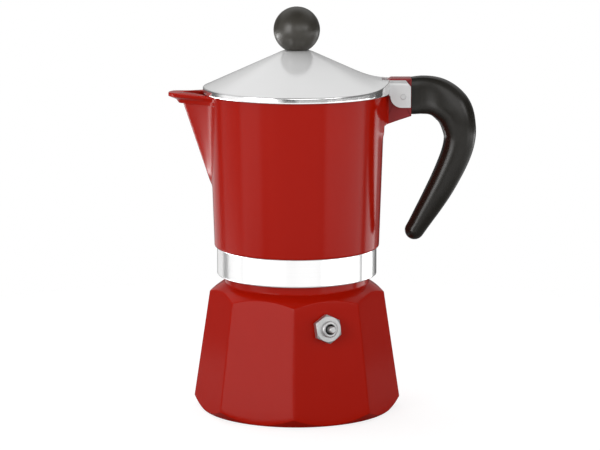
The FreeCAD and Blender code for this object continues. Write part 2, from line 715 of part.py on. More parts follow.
def make_handle():
    stations = handle_path()
    sections = [handle_section(s, size) for s, size in zip(stations, HANDLE_SECTIONS)]
    x, z, heading = stations[-1]
    along = (math.cos(math.radians(heading)), math.sin(math.radians(heading)))
    for dome in HANDLE_DOME:
        reach = HANDLE_TIP_RADIUS * math.sin(math.radians(dome))
        radius = HANDLE_TIP_RADIUS * math.cos(math.radians(dome))
        station = (x + along[0] * reach, z + along[1] * reach, heading)
        sections.append(handle_section(station, (radius, radius, 2.0)))
    grip = Part.makeLoft(sections, True, False)
    socket = slab([
        (RIB_END - PAST, TANG_BOTTOM - FIT),
        (TANG_END + FIT, TANG_BOTTOM - FIT),
        (TANG_END + FIT, TANG_TOP + FIT),
        (RIB_END - PAST, TANG_TOP + FIT),
    ], TANG_HALF + FIT)
    below = HANDLE_SCREW_BOTTOM - HANDLE_SCREW_ACCESS
    shank = rod(HANDLE_SCREW_RADIUS + FIT, below, TANG_BOTTOM, HANDLE_SCREW_X)
    head = rod(HANDLE_SCREW_HEAD + FIT, below, HANDLE_SCREW_SEAT, HANDLE_SCREW_X)
    return grip.cut([socket, shank, head])


def make_handle_screw():
    screw = turned([
        (0, HANDLE_SCREW_BOTTOM),
        (HANDLE_SCREW_HEAD, HANDLE_SCREW_BOTTOM, HANDLE_SCREW_ROUND),
        (HANDLE_SCREW_HEAD, HANDLE_SCREW_SEAT),
        (HANDLE_SCREW_RADIUS, HANDLE_SCREW_SEAT),
        (HANDLE_SCREW_RADIUS, HANDLE_SCREW_TOP, HANDLE_SCREW_POINT),
        (0, HANDLE_SCREW_TOP),
    ])
    screw.translate(Vector(HANDLE_SCREW_X, 0, 0))
    return screw


def make_hinge_pin():
    pin = cross_rod(PIN_RADIUS, PIN_LENGTH / 2)
    rims = [edge for edge in pin.Edges if edge.isClosed()]
    return pin.makeFillet(PIN_ROUND, rims)


def lid_cap(sheet):
    """The cone with its upright rim, brought in by a sheet's thickness on all sides."""
    drop = sheet * math.hypot(1, LID_SLOPE)
    return turned([
        (0, LID_BOTTOM - sheet),
        (LID_RADIUS - sheet, LID_BOTTOM - sheet),
        (LID_RADIUS - sheet, LID_SHOULDER + sheet * LID_SLOPE - drop, LID_EDGE),
        (LID_TOP_RADIUS, LID_TOP - drop, LID_EDGE),
        (0, LID_TOP - drop),
    ])


def lid_ramp(sheet):
    """The slopes on which the rim rises to the hinge's tab, kept inside the rim."""
    side = TAB_RAMP_HALF - sheet
    foot = LID_BOTTOM - sheet
    ramp = channel([
        (-side, foot),
        (-side, LID_SHOULDER - sheet),
        (-TAB_HALF, TAB_TOP - sheet, TAB_RAMP_ROUND),
        (TAB_HALF, TAB_TOP - sheet, TAB_RAMP_ROUND),
        (side, LID_SHOULDER - sheet),
        (side, foot),
    ], LID_RADIUS)
    return ramp.common(rod(LID_RADIUS - sheet, foot - PAST, TAB_TOP + PAST))


def lid_tab(sheet):
    """The folded channel that ends in the two hinge ears."""
    side = TAB_HALF - sheet
    top = TAB_TOP - sheet
    return channel([
        (-side, EAR_BOTTOM - sheet),
        (-side, top, TAB_BEND - sheet),
        (side, top, TAB_BEND - sheet),
        (side, EAR_BOTTOM - sheet),
    ], EAR_END + sheet)


def ear_profile():
    """The ears' side view, from the tab down to their rounded lower corner."""
    return slab([
        (TAB_START, EAR_STEP_BOTTOM),
        (EAR_LEFT, EAR_STEP_BOTTOM),
        (EAR_LEFT, EAR_BOTTOM, EAR_ROUND),
        (EAR_END, EAR_BOTTOM, EDGE),
        (EAR_END, TAB_TOP - EAR_CHAMFER[1], EDGE),
        (EAR_END - EAR_CHAMFER[0], TAB_TOP, EDGE),
        (TAB_START, TAB_TOP),
    ], TAB_HALF)


def make_lid():
    outside = lid_cap(0.0).fuse([lid_ramp(0.0), lid_tab(0.0).common(ear_profile())])
    shell = outside.cut([lid_cap(LID_SHEET), lid_ramp(LID_SHEET), lid_tab(LID_SHEET)])
    slot = slab([
        (SLOT_END, EAR_BOTTOM),
        (EAR_END + PAST, EAR_BOTTOM),
        (EAR_END + PAST, TAB_TOP + PAST),
        (SLOT_END, TAB_TOP + PAST),
    ], SLOT_HALF)
    pin = cross_rod(PIN_RADIUS + FIT, PIN_LENGTH)
    screw = rod(KNOB_SCREW_RADIUS + FIT, LID_BOTTOM, LID_TOP + PAST)
    return shell.cut([slot, pin, screw]).removeSplitter()


def make_knob():
    ball = Part.makeSphere(KNOB_RADIUS, Vector(0, 0, KNOB_Z))
    below = rod(KNOB_RADIUS, KNOB_Z - 2 * KNOB_RADIUS, LID_TOP)
    hole = rod(KNOB_SCREW_RADIUS + FIT, LID_TOP - PAST, KNOB_SCREW_TOP + PAST)
    return ball.cut([below, hole])


def make_knob_washer():
    return ring(KNOB_WASHER_RADIUS, KNOB_SCREW_RADIUS + FIT, KNOB_SCREW_SEAT, LID_CEILING)


def make_knob_screw():
    head_bottom = KNOB_SCREW_SEAT - KNOB_HEAD_DEPTH
    return turned([
        (0, head_bottom),
        (KNOB_HEAD_RADIUS, head_bottom, KNOB_HEAD_ROUND),
        (KNOB_HEAD_RADIUS, KNOB_SCREW_SEAT),
        (KNOB_SCREW_RADIUS, KNOB_SCREW_SEAT),
        (KNOB_SCREW_RADIUS, KNOB_SCREW_TOP, EDGE),
        (0, KNOB_SCREW_TOP),
    ])


def main():
    os.makedirs("parts", exist_ok=True)
    makers = {
        "boiler": make_boiler,
        "valve_body": make_valve_body,
        "valve_washer": make_valve_washer,
        "valve_seal": make_valve_seal,
        "valve_pin": make_valve_pin,
        "valve_spring": make_valve_spring,
        "valve_retainer": make_valve_retainer,
        "funnel": make_funnel,
        "funnel_plate": make_funnel_plate,
        "gasket": make_gasket,
        "filter_plate": make_filter_plate,
        "jug": make_jug,
        "handle": make_handle,
        "handle_screw": make_handle_screw,
        "hinge_pin": make_hinge_pin,
        "lid": make_lid,
        "knob": make_knob,
        "knob_washer": make_knob_washer,
        "knob_screw": make_knob_screw,
    }
    for node, make in makers.items():
        shape = make()
        print(node, shape.isValid(), len(shape.Solids), round(shape.Volume, 1))
        shape.exportStep("parts/" + node + ".step")


main()
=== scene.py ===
import json
import math
import bmesh
import bpy
import numpy as np
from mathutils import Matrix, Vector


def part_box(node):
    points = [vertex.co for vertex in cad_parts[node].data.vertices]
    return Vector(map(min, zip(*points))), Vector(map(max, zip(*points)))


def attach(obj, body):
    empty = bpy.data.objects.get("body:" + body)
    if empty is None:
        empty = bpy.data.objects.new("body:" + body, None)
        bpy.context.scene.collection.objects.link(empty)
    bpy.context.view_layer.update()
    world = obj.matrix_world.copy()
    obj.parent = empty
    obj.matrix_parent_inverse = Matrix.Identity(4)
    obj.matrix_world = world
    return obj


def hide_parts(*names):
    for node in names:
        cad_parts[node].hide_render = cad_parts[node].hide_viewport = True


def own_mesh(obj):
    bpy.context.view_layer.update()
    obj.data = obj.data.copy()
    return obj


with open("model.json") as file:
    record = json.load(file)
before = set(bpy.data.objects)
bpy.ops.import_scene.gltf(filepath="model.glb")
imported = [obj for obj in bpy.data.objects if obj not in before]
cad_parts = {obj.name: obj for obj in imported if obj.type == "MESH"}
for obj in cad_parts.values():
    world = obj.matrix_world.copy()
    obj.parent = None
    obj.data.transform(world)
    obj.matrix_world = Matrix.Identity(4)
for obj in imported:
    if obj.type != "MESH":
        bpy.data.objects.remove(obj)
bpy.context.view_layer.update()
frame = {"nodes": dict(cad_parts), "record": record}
nodes = frame["nodes"]
print("frame loaded:", len(nodes), "nodes")

# Sizes of pieces are millimetres and degrees, and a mesh gets them in metres. The stage is sized in metres.
# +Z is up from the table, +X points to the handle and -X to the spout.
mm = 0.001
weld = 2e-7              # points nearer than this are one point, in metres
creaseAngle = 38.0       # edges sharper than this stay crisp
runEnds = (0.04, 0.96)   # a straight run has rows here too, so that its shading stays flat
faceEdge = 0.06          # a slab's face has a ring this share of the way in, for the same reason
hair = 0.01              # millimetres too small to see


# Shader maths: a Sock stands for a socket's value, so that sums and products of socks add their Math nodes
class Sock:
    def __init__(self, tree, socket):
        self.tree = tree
        self.socket = socket

    # another output of the same node
    def __getitem__(self, name):
        return Sock(self.tree, self.socket.node.outputs[name])

    def math(self, operation, *others):
        return self.tree.node("Math", {"operation": operation}, dict(enumerate((self, *others))))

    def __add__(self, other):
        return self.math("ADD", other)

    def __sub__(self, other):
        return self.math("SUBTRACT", other)

    def __rsub__(self, other):
        return self.tree.node("Math", {"operation": "SUBTRACT"}, {0: other, 1: self})

    def __mul__(self, other):
        return self.math("MULTIPLY", other)

    def __pow__(self, other):
        return self.math("POWER", other)

    __radd__ = __add__
    __rmul__ = __mul__

    # 0 below low, 1 above high, a soft step between
    def ramp(self, low, high):
        return self.tree.node("MapRange", {"interpolation_type": "SMOOTHSTEP"},
                              {"Value": self, "From Min": low, "From Max": high})


# A node tree, with one method that adds any node: its settings first, then its sockets
class Tree:
    def __init__(self, owner):
        owner.use_nodes = True
        self.owner = owner
        self.tree = owner.node_tree

    def feed(self, socket, value):
        if isinstance(value, Sock):
            self.tree.links.new(value.socket, socket)
        else:
            socket.default_value = value

    def node(self, kind, settings=None, sockets=None, out=0):
        made = self.tree.nodes.new("ShaderNode" + kind)
        for name, value in (settings or {}).items():
            setattr(made, name, value)
        for name, value in (sockets or {}).items():
            self.feed(made.inputs[name], value)
        return Sock(self, made.outputs[out])

    # colour between two colours (sockets 6 and 7 of a Mix node are its colours)
    def mix(self, factor, first, second):
        return self.node("Mix", {"data_type": "RGBA"}, {0: factor, 6: first, 7: second}, out=2)


# A material on a Principled shader: fixed values go straight onto its sockets
class Finish(Tree):
    def __init__(self, name, **fixed):
        super().__init__(bpy.data.materials.new(name))
        self.shader = self.tree.nodes["Principled BSDF"]
        for key, value in fixed.items():
            self.shader.inputs[key.replace("_", " ")].default_value = value

    def set(self, socketName, value):
        self.feed(self.shader.inputs[socketName], value)

    def place(self):
        return self.node("TexCoord", out=3)

    def along(self, axis):
        return self.node("SeparateXYZ", {}, {0: self.place()})[axis]

    # distance from the pot's axis
    def radius(self):
        x = self.along("X")
        y = self.along("Y")
        return (x * x + y * y) ** 0.5

    # noise whose grain is about this many millimetres
    def noise(self, grain, detail):
        scale = 1 / (grain * mm)
        return self.node("TexNoise", {}, {"Vector": self.place(), "Scale": scale, "Detail": detail})

    # noise along one value only, for turned and spun rings
    def rings(self, value, grain):
        scale = 1 / (grain * mm)
        return self.node("TexNoise", {"noise_dimensions": "1D"}, {"W": value, "Scale": scale, "Detail": 1.0})

    def bump(self, height, depth):
        normal = self.node("Bump", {}, {"Height": height, "Strength": 1.0, "Distance": depth * mm})
        self.set("Normal", normal)


def grey(value):
    return (value, value, value, 1.0)


# Two tones in clouds, a roughness that wanders up from its least, and a fine grain where there is one.
# A pattern is its size and its detail; a roughness is its least and what the smear adds.
def cloudy(name, s):
    f = Finish(name, **s["fixed"])
    f.set("Base Color", f.mix(f.noise(*s["cloud"]), s["dark"], s["light"]))
    least, more = s["rough"]
    f.set("Roughness", least + more * f.noise(*s["smear"]))
    if "grain" in s:
        f.bump(f.noise(*s["grain"]), s["depth"])
    return f.owner


# glossy fired enamel with a slight orange peel
enamel = dict(
    fixed=dict(Specular_IOR_Level=0.1), dark=(0.44, 0.0078, 0.0012, 1.0), light=(0.47, 0.0092, 0.0018, 1.0),
    cloud=(14.0, 3.0), rough=(0.12, 0.05), smear=(3.0, 2.0), grain=(1.6, 2.0), depth=0.004,
)
# the same enamel on the hinge's rib, painted darker and greyer: painted shade and a painted grey reflection
ribShadeEnamel = dict(enamel, dark=(0.30, 0.042, 0.044, 1.0), light=(0.33, 0.047, 0.049, 1.0))
red = cloudy("red_enamel_gloss", enamel)
ribShadeRed = cloudy("red_enamel_painted_shade", ribShadeEnamel)

# the lid's folded ears: the lid's own sheet, rougher, and painted darker as shade, since they face the front
# and miss the light from above
earShadeMetal = dict(
    fixed=dict(Metallic=0.3), dark=grey(0.65), light=grey(0.71), cloud=(4.0, 3.0), rough=(0.30, 0.08),
    smear=(1.0, 2.0), grain=(0.4, 2.0), depth=0.0012,
)
dull = cloudy("ear_aluminium_painted_shade", earShadeMetal)

# the lid's rim: rolled and polished bright
rimMetal = dict(
    fixed=dict(Metallic=0.9), dark=grey(0.86), light=grey(0.92), cloud=(12.0, 2.0), rough=(0.08, 0.05),
    smear=(2.0, 2.0),
)
polished = cloudy("polished_aluminium", rimMetal)

# bare casting inside: a dull, faintly mottled skin
castMetal = dict(
    fixed=dict(Metallic=1.0), dark=grey(0.55), light=grey(0.72), cloud=(5.0, 4.0), rough=(0.38, 0.16),
    smear=(1.2, 3.0), grain=(0.7, 3.0), depth=0.012,
)
cast = cloudy("cast_aluminium", castMetal)

# satin plating, faintly cloudy
steel = dict(
    fixed=dict(Metallic=0.8), dark=grey(0.50), light=grey(0.54), cloud=(1.5, 3.0), rough=(0.34, 0.05),
    smear=(0.8, 3.0), grain=(0.25, 2.0), depth=0.0004,
)
plated = cloudy("plated_steel_bright", steel)

# oiled dark steel of the ring that holds the valve's spring
ringSteel = dict(
    fixed=dict(Metallic=0.6), dark=grey(0.012), light=grey(0.03), cloud=(0.8, 2.0), rough=(0.45, 0.1),
    smear=(0.4, 2.0),
)
oiled = cloudy("dark_steel_oiled", ringSteel)

# moulded white seal rubber: dull, with a fine bloom
rubber = dict(
    fixed={}, dark=(0.70, 0.68, 0.62, 1.0), light=(0.78, 0.76, 0.71, 1.0), cloud=(3.0, 4.0),
    rough=(0.52, 0.12), smear=(1.0, 2.0), grain=(0.5, 2.0), depth=0.01,
)
whiteRubber = cloudy("seal_rubber_white", rubber)

# moulded phenolic: a warm black with a fine satin grain, paler and rougher on the tumbled knob
gripPlastic = dict(
    fixed=dict(Specular_IOR_Level=0.30), dark=(0.012075, 0.0105, 0.007875, 1.0),
    light=(0.01575, 0.014175, 0.011025, 1.0), cloud=(2.0, 3.0), rough=(0.20, 0.08), smear=(0.8, 3.0),
    grain=(0.35, 2.0), depth=0.002,
)
knobPlastic = dict(
    gripPlastic, fixed=dict(Specular_IOR_Level=0.5), dark=(0.0299, 0.026, 0.0195, 1.0),
    light=(0.039, 0.0351, 0.0273, 1.0), rough=(0.30, 0.08),
)
black = cloudy("black_plastic_satin", gripPlastic)
knobBlack = cloudy("black_plastic_tumbled", knobPlastic)

lidMetal = dict(
    metal=0.2, dark=0.87, light=0.91, cloud=25.0, rough=0.10, roughMore=0.03, broadRing=0.6, smear=8.0,
    ring=0.35, depth=0.0012,
)


# pressed lid, lightly polished on a spindle: a pale haze over a weak mirror, fine rings round the knob
def satinAluminium():
    s = lidMetal
    f = Finish("satin_aluminium", Metallic=s["metal"])
    radius = f.radius()
    f.set("Base Color", f.mix(f.noise(s["cloud"], 2.0), grey(s["dark"]), grey(s["light"])))
    wander = s["roughMore"] * f.rings(radius, s["broadRing"]) + s["roughMore"] * f.noise(s["smear"], 2.0)
    f.set("Roughness", s["rough"] + wander)
    f.bump(f.rings(radius, s["ring"]), s["depth"])
    return f.owner


collarMetal = dict(
    metal=0.7, dark=0.92, light=0.97, band=0.5, rough=0.13, roughMore=0.06, smear=0.4,
    groove=0.5, depth=0.0008,
)


# turned collar: pale, fine-grooved and mostly mirror
def turnedAluminium():
    s = collarMetal
    f = Finish("turned_aluminium", Metallic=s["metal"])
    height = f.along("Z")
    f.set("Base Color", f.mix(f.rings(height, s["band"]), grey(s["dark"]), grey(s["light"])))
    f.set("Roughness", s["rough"] + s["roughMore"] * f.rings(height, s["smear"]))
    f.bump(f.rings(height, s["groove"]), s["depth"])
    return f.owner


sheetMetal = dict(
    metal=1.0, dark=0.66, light=0.76, cloud=6.0, rough=0.26, roughMore=0.12, smear=0.8, ring=0.5, depth=0.004,
)


# spun sheet of the funnel and plates: rings about the pot's axis
def spunAluminium():
    s = sheetMetal
    f = Finish("spun_aluminium", Metallic=s["metal"])
    along = f.radius() + f.along("Z")
    f.set("Base Color", f.mix(f.noise(s["cloud"], 3.0), grey(s["dark"]), grey(s["light"])))
    f.set("Roughness", s["rough"] + s["roughMore"] * f.rings(along, s["smear"]))
    f.bump(f.rings(along, s["ring"]), s["depth"])
    return f.owner


satin = satinAluminium()
turned = turnedAluminium()
spunSheet = spunAluminium()
slotFinish = dict(red_enamel=red, lid_aluminium=satin, sheet_aluminium=spunSheet, black_plastic=black,
                  plated_steel=plated, seal_rubber=whiteRubber)
for part in frame["record"]["subparts"]:
    mesh = nodes[part["node"]].data
    mesh.materials.clear()
    mesh.materials.append(slotFinish[part["material_slot"]])
nodes["valve_retainer"].data.materials[0] = oiled
print("finishes ready:", len(bpy.data.materials))


def unit(v):
    return v / np.linalg.norm(v, axis=-1, keepdims=True)


# the larger of two values; where they differ by less than k, a cubic rounds the corner between them
def smoothMax(a, b, k):
    near = np.maximum(k - np.abs(a - b), 0) / k
    return np.maximum(a, b) + near ** 3 * k / 6


# the smaller of two values, rounded in the same way
def smoothMin(a, b, k):
    return -smoothMax(-a, -b, k)


def smoothStep(x, low, high):
    t = np.clip((x - low) / (high - low), 0, 1)
    return t * t * (3 - 2 * t)


# Angles round the pot, denser where they are gathered: 1 gathers at 0 degrees, 2 at 0 and 180, and so on
def around(count, gathers=0, share=0.0):
    u = np.arange(count) * 2 * np.pi / count
    return u - share * np.sin(gathers * u) / max(gathers, 1)


# Rows of a profile: straight runs through (a, b, rounding) corners, each corner an arc that touches both
# runs. A corner's a and b may be arrays, one value for each column.
def profile(corners, steps=6):
    pairs = [np.stack(np.broadcast_arrays(corner[0], corner[1]), -1).astype(float) for corner in corners]
    spots = np.broadcast_arrays(*[np.atleast_2d(pair) for pair in pairs])
    nearEnds = np.reshape(runEnds, (2, 1, 1))
    rows = []
    for i, here in enumerate(spots):
        bend = here[None]
        radius = corners[i][2] if len(corners[i]) > 2 else 0.0
        if radius > 0:
            before = unit(spots[i - 1] - here)
            after = unit(spots[i + 1] - here)
            half = np.arccos(np.clip((before * after).sum(-1, keepdims=True), -1, 1)) / 2
            middle = here + unit(before + after) * radius / np.sin(half)
            start = here + before * radius / np.tan(half) - middle
            end = here + after * radius / np.tan(half) - middle
            sweep = np.pi - 2 * half
            t = np.linspace(0, 1, steps)[:, None, None]
            bend = middle + (np.sin((1 - t) * sweep) * start + np.sin(t * sweep) * end) / np.sin(sweep)
        if rows:
            last = rows[-1][-1:]
            rows.append(last + nearEnds * (bend[:1] - last))
        rows.append(bend)
    return np.concatenate(rows)


# Rows of (radius, height) carried round Z to the given angles
def spun(rows, angle):
    r = rows[..., 0]
    return np.stack([r * np.cos(angle), r * np.sin(angle), rows[..., 1] + 0 * angle], -1)


# One mesh from grids of points; each grid is closed round its columns, and coinciding points are welded.
# Patches are (points, zone), with a zone for the grid or one for each of its rows; finishes go by zone.
def skin(name, patches, finishes):
    points, faces, zones = [], [], []
    first = 0
    for spots, zone in patches:
        rows, columns = spots.shape[:2]
        grid = first + np.arange(rows * columns).reshape(rows, columns)
        beside = np.roll(grid, -1, axis=1)
        faces.append(np.stack([grid[:-1], beside[:-1], beside[1:], grid[1:]], -1).reshape(-1, 4))
        zones.append(np.broadcast_to(np.reshape(zone, (-1, 1)), (rows - 1, columns)).ravel())
        points.append(spots.reshape(-1, 3) * mm)
        first += rows * columns
    mesh = bpy.data.meshes.new(name)
    mesh.from_pydata(np.concatenate(points).tolist(), [], np.concatenate(faces).tolist())
    mesh.polygons.foreach_set("material_index", np.concatenate(zones).astype(np.int32))
    shell = bmesh.new()
    shell.from_mesh(mesh)
    bmesh.ops.remove_doubles(shell, verts=shell.verts, dist=weld)
    bmesh.ops.recalc_face_normals(shell, faces=shell.faces)
    shell.to_mesh(mesh)
    shell.free()
    for finish in finishes:
        mesh.materials.append(finish)
    mesh.polygons.foreach_set("use_smooth", np.ones(len(mesh.polygons), bool))
    mesh.set_sharp_from_angle(angle=math.radians(creaseAngle))
    piece = bpy.data.objects.new(name, mesh)
    bpy.context.scene.collection.objects.link(piece)
    return piece


# The piece with a cutter's shape taken out of it; the cutter is used up
def cutAway(piece, cutter):
    tool = piece.modifiers.new("cut", "BOOLEAN")
    tool.operation = "DIFFERENCE"
    tool.solver = "EXACT"
    tool.object = cutter
    shape = piece.evaluated_get(bpy.context.evaluated_depsgraph_get())
    before = piece.data
    after = bpy.data.meshes.new_from_object(shape)
    piece.modifiers.clear()
    piece.data = after
    bpy.data.meshes.remove(before)
    bpy.data.objects.remove(cutter)
    piece.data.set_sharp_from_angle(angle=math.radians(creaseAngle))


# Both meshes in the first piece; the second is used up
def merge(piece, other):
    both = bmesh.new()
    both.from_mesh(piece.data)
    both.from_mesh(other.data)
    both.to_mesh(piece.data)
    both.free()
    bpy.data.objects.remove(other)


# The piece moves with a body and stands for these nodes
def belongs(piece, body, slot, *stoodFor):
    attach(piece, body)
    if stoodFor:
        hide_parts(*stoodFor)
    print(piece.name, "on", body, len(piece.data.polygons), "faces")


# Rows of a slab across Y: its side view carried from one face to the other, with rounded edges. Each row is
# the outline brought in along its own inward heading, and the two faces close on the outline's middle.
def slab(outline, half, edge, steps=4):
    heading = unit(np.roll(outline, -1, 0) - np.roll(outline, 1, 0))
    inward = np.stack([-heading[:, 1], heading[:, 0]], -1)
    middle = outline.mean(0)
    inward = inward * np.sign(((middle - outline) * inward).sum())
    a = np.linspace(0, np.pi / 2, steps)
    inset = edge * (1 - np.cos(a))
    side = half - edge * (1 - np.sin(a))
    flank = runEnds[1] * side[0]
    inset = np.concatenate([[edge, edge], inset[::-1], [0, 0], inset, [edge, edge]])
    y = np.concatenate([[-half, -half], -side[::-1], [-flank, flank], side, [half, half]])
    flat = outline + inset[:, None, None] * inward
    flat[[0, -1]] = middle
    flat[[1, -2]] += faceEdge * (middle - flat[[1, -2]])
    return np.stack([flat[..., 0], y[:, None] + 0 * flat[..., 0], flat[..., 1]], -1)


boilerSizes = dict(
    sides=8, turn=-1.5, cornerFoot=46.3, cornerShoulder=38.58, cornerRound=1.6,
    shoulder=51.2, shoulderSlope=0.7, shoulderRound=1.0,
    footRadius=42.3, footRise=4.8, footEdge=0.8, footRound=0.5,
    wall=3.0, floor=3.2, floorRound=4.0, roof=(-2.5, 2.6), roofRound=2.0,
    neck=31.8, neckBore=26.2, neckRoot=0.8, neckEdge=0.6, bareFrom=60.0,
    columns=24, gather=2.4, roundSteps=7,
)


# Octagon in polar form: each flat is its distance over the cosine from its middle, each corner an arc that
# touches two flats. It shrinks with height. The turned foot and shoulder are cones that cut it, so every
# column is a profile whose corners lie where those cones meet the facet.
def makeBoiler():
    s = boilerSizes
    step = np.pi / s["sides"]
    u = np.linspace(-1, 1, s["columns"], endpoint=False)
    offset = step * np.sign(u) * np.abs(u) ** s["gather"]
    corner = np.arange(s["sides"])[:, None] * 2 * step
    angle = (corner + offset).ravel() + math.radians(s["turn"])
    off = np.tile(np.abs(offset), s["sides"])
    rounding = s["cornerRound"] / s["cornerFoot"]
    centre = 1 - rounding / np.cos(step)
    arc = centre * np.cos(off) + np.sqrt(np.maximum(rounding ** 2 - (centre * np.sin(off)) ** 2, 0))
    flat = np.cos(step) / np.cos(step - off)
    arcEnd = np.arctan2(rounding * np.sin(step), centre + rounding * np.cos(step))
    shape = np.where(off < arcEnd, arc, flat)
    lean = (s["cornerFoot"] - s["cornerShoulder"]) / s["shoulder"]
    footSlope = (s["cornerFoot"] - s["footRadius"]) / s["footRise"]
    low = (s["cornerFoot"] * shape - s["footRadius"]) / (footSlope + lean * shape)
    reach = s["cornerShoulder"] + s["shoulder"] / s["shoulderSlope"]
    high = (reach - s["cornerFoot"] * shape) / (1 / s["shoulderSlope"] - lean * shape)
    neckFoot = s["shoulder"] + (s["cornerShoulder"] - s["neck"]) * s["shoulderSlope"]
    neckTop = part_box("boiler")[1][2] / mm
    inner = [(s["cornerFoot"] - lean * z) * np.cos(step) - s["wall"] for z in (s["floor"], s["shoulder"])]
    rows = profile([
        (0, 0),
        (s["footRadius"], 0, s["footEdge"]),
        ((s["cornerFoot"] - lean * low) * shape, low, s["footRound"]),
        ((s["cornerFoot"] - lean * high) * shape, high, s["shoulderRound"]),
        (s["neck"], neckFoot, s["neckRoot"]),
        (s["neck"], s["bareFrom"]),
        (s["neck"], neckTop, s["neckEdge"]),
        (s["neckBore"], neckTop, s["neckEdge"]),
        (s["neckBore"], s["shoulder"] + s["roof"][1], s["roofRound"]),
        (inner[1], s["shoulder"] + s["roof"][0], s["roofRound"]),
        (inner[0], s["floor"], s["floorRound"]),
        (0, s["floor"]),
    ], s["roundSteps"])
    height = rows[:, 0, 1]
    base = np.argmax(height > hair) - 1         # the last row that lies on the table
    bare = np.argmax(height >= s["bareFrom"])
    index = np.arange(len(rows) - 1)
    zone = np.select([index < base, index < bare], [2, 0], 1)
    piece = skin("boiler_casting", [(spun(rows, angle), zone)], [red, cast, spunSheet])
    belongs(piece, "boiler", "red_enamel", "boiler")


makeBoiler()

jugSizes = dict(
    rim=141.6, rimRadius=38.5, foot=71.9, footRadius=36.2, footRound=0.9, wall=1.9, edge=0.45,
    collarRadius=35.1, collarBore=33.0, collarBottom=59.7, collarEdge=0.4, collarRoot=0.2,
    seat=71.3, seatRadius=24.5, boreTop=117.9, bore=3.6, boreFoot=74.9, boreRound=2.0,
    floor=75.4, floorRound=3.0, floorShare=0.98, enamelProud=0.1,
    columnFoot=9.0, columnStep=2.0, columnStepRounds=(0.5, 0.4), columnRadius=6.0, columnTop=120.9,
    columnRound=3.0, window=(3.4, 7.0), columns=380, gather=0.72, edgeSteps=5, insideRows=48,
    # rows up the outside: from, to and step
    bands=[(73.6, 96.0, 2.0), (96.0, 122.0, 1.0), (122.0, 134.6, 0.45), (134.6, 138.7, 0.14)],
)
spoutSizes = dict(
    foot=94.7, top=139.5, footReach=36.1, topReach=51.0, footHalf=3.5, topHalf=12.5, point=3.2, hollow=11.0,
    swell=0.9, leans=(0.1, 1.4), flankSpan=1.5, thinning=0.8, channelHollow=2.0, channelLeast=0.9,
    mouth=(20.6, 22.4), tipRise=0.45, tipSpan=(4.0, 11.0),
    # height, reach, half width, radius of the point and of the hollow behind
    lip=[(135.2, 51.4, 12.5, 3.2, 8.0), (136.9, 52.6, 12.9, 4.0, 6.0), (138.3, 56.0, 13.6, 6.5, 4.0),
         (139.5, 56.0, 13.6, 7.0, 4.0)],
)
bracketSizes = dict(
    half=4.2, top=146.2, front=39.8, frontRound=1.6, end=49.9, back=37.3, rootBottom=125.8, endBottom=129.9,
    edge=0.5, cornerRound=0.3, notchRound=0.5, inside=0.15,
    flareX=39.6, flareBack=32.6, flareHalf=19.3, flareTop=138.4, flareFoot=(122.3, 7.7), flareFade=0.22,
    flareSwell=0.2, flareDrop=3.5, flareBlend=4.0, wallBlend=0.8, underBlend=0.6,
    # radians: the flare ends here, and beyond its joint it falls off by this share for each radian
    flareSpan=1.0, flareFall=2.0, leastAngle=0.01, leastSlant=0.3, ribShort=1.0,
    pinX=46.2, pinZ=138.6, boss=3.2, bossHalf=5.45, bossColumns=48,
    tang=(47.9, 61.5, 133.9, 142.9), tangHalf=2.6, tangRound=1.0,
)


def wallRadius(z):
    s = jugSizes
    return s["footRadius"] + (z - s["foot"]) / (s["rim"] - s["foot"]) * (s["rimRadius"] - s["footRadius"])


# Distance from the axis to the spout at an angle off its line: a round point, a straight flank that leaves
# the point's circle square to its radius, then a hollow whose circle touches both the flank and the wall.
# Reach, width and hollow grow with height, and the foot swells out of the wall.
def spoutReach(off, z, inset, lipped):
    s = spoutSizes
    share = (z - s["foot"]) / (s["top"] - s["foot"])
    half = np.maximum(s["footHalf"] + share * (s["topHalf"] - s["footHalf"]), s["footHalf"])
    reach = s["footReach"] + share * (s["topReach"] - s["footReach"])
    plan = [reach, half, s["point"], s["hollow"] * half / s["topHalf"]]
    if lipped:
        heights, *columns = np.transpose(s["lip"])
        above = z > heights[0]
        plan = [np.where(above, np.interp(z, heights, lip), plain) for lip, plain in zip(columns, plan)]
    reach, half, point, hollow = plan
    if inset:
        reach = reach - inset
        half = np.maximum(half - inset, s["channelLeast"])
        point = point - s["thinning"] * inset
        hollow = s["channelHollow"]
    wall = wallRadius(z) - inset
    root = np.sqrt(wall ** 2 - half ** 2)
    centre = reach - point
    lean = np.arctan2(half, centre - root) - np.arcsin(np.minimum(point / np.hypot(centre - root, half), 1))
    lean = np.clip(lean, *s["leans"])
    touch = np.arctan2(point * np.cos(lean), centre + point * np.sin(lean))
    tip = centre * np.cos(off) + np.sqrt(np.maximum(point ** 2 - (centre * np.sin(off)) ** 2, 0))
    square = np.pi / 2 - lean
    nearest = root * np.cos(square) + half * np.sin(square)
    flank = nearest / np.cos(np.clip(off - square, -s["flankSpan"], s["flankSpan"]))
    far = wall + hollow
    middle = square - np.arccos(np.minimum((nearest + hollow) / far, 1))
    startX = far * np.cos(middle) - hollow * np.cos(square)
    startY = far * np.sin(middle) - hollow * np.sin(square)
    start = np.arctan2(startY, startX)
    aside = off - middle
    bowl = far * np.cos(aside) - np.sqrt(np.maximum(hollow ** 2 - (far * np.sin(aside)) ** 2, 0))
    shape = np.select([off < touch, off < start, off < middle], [tip, flank, bowl], wall)
    return wall + np.maximum(shape - wall, 0) * smoothStep(reach - wall, 0, s["swell"])


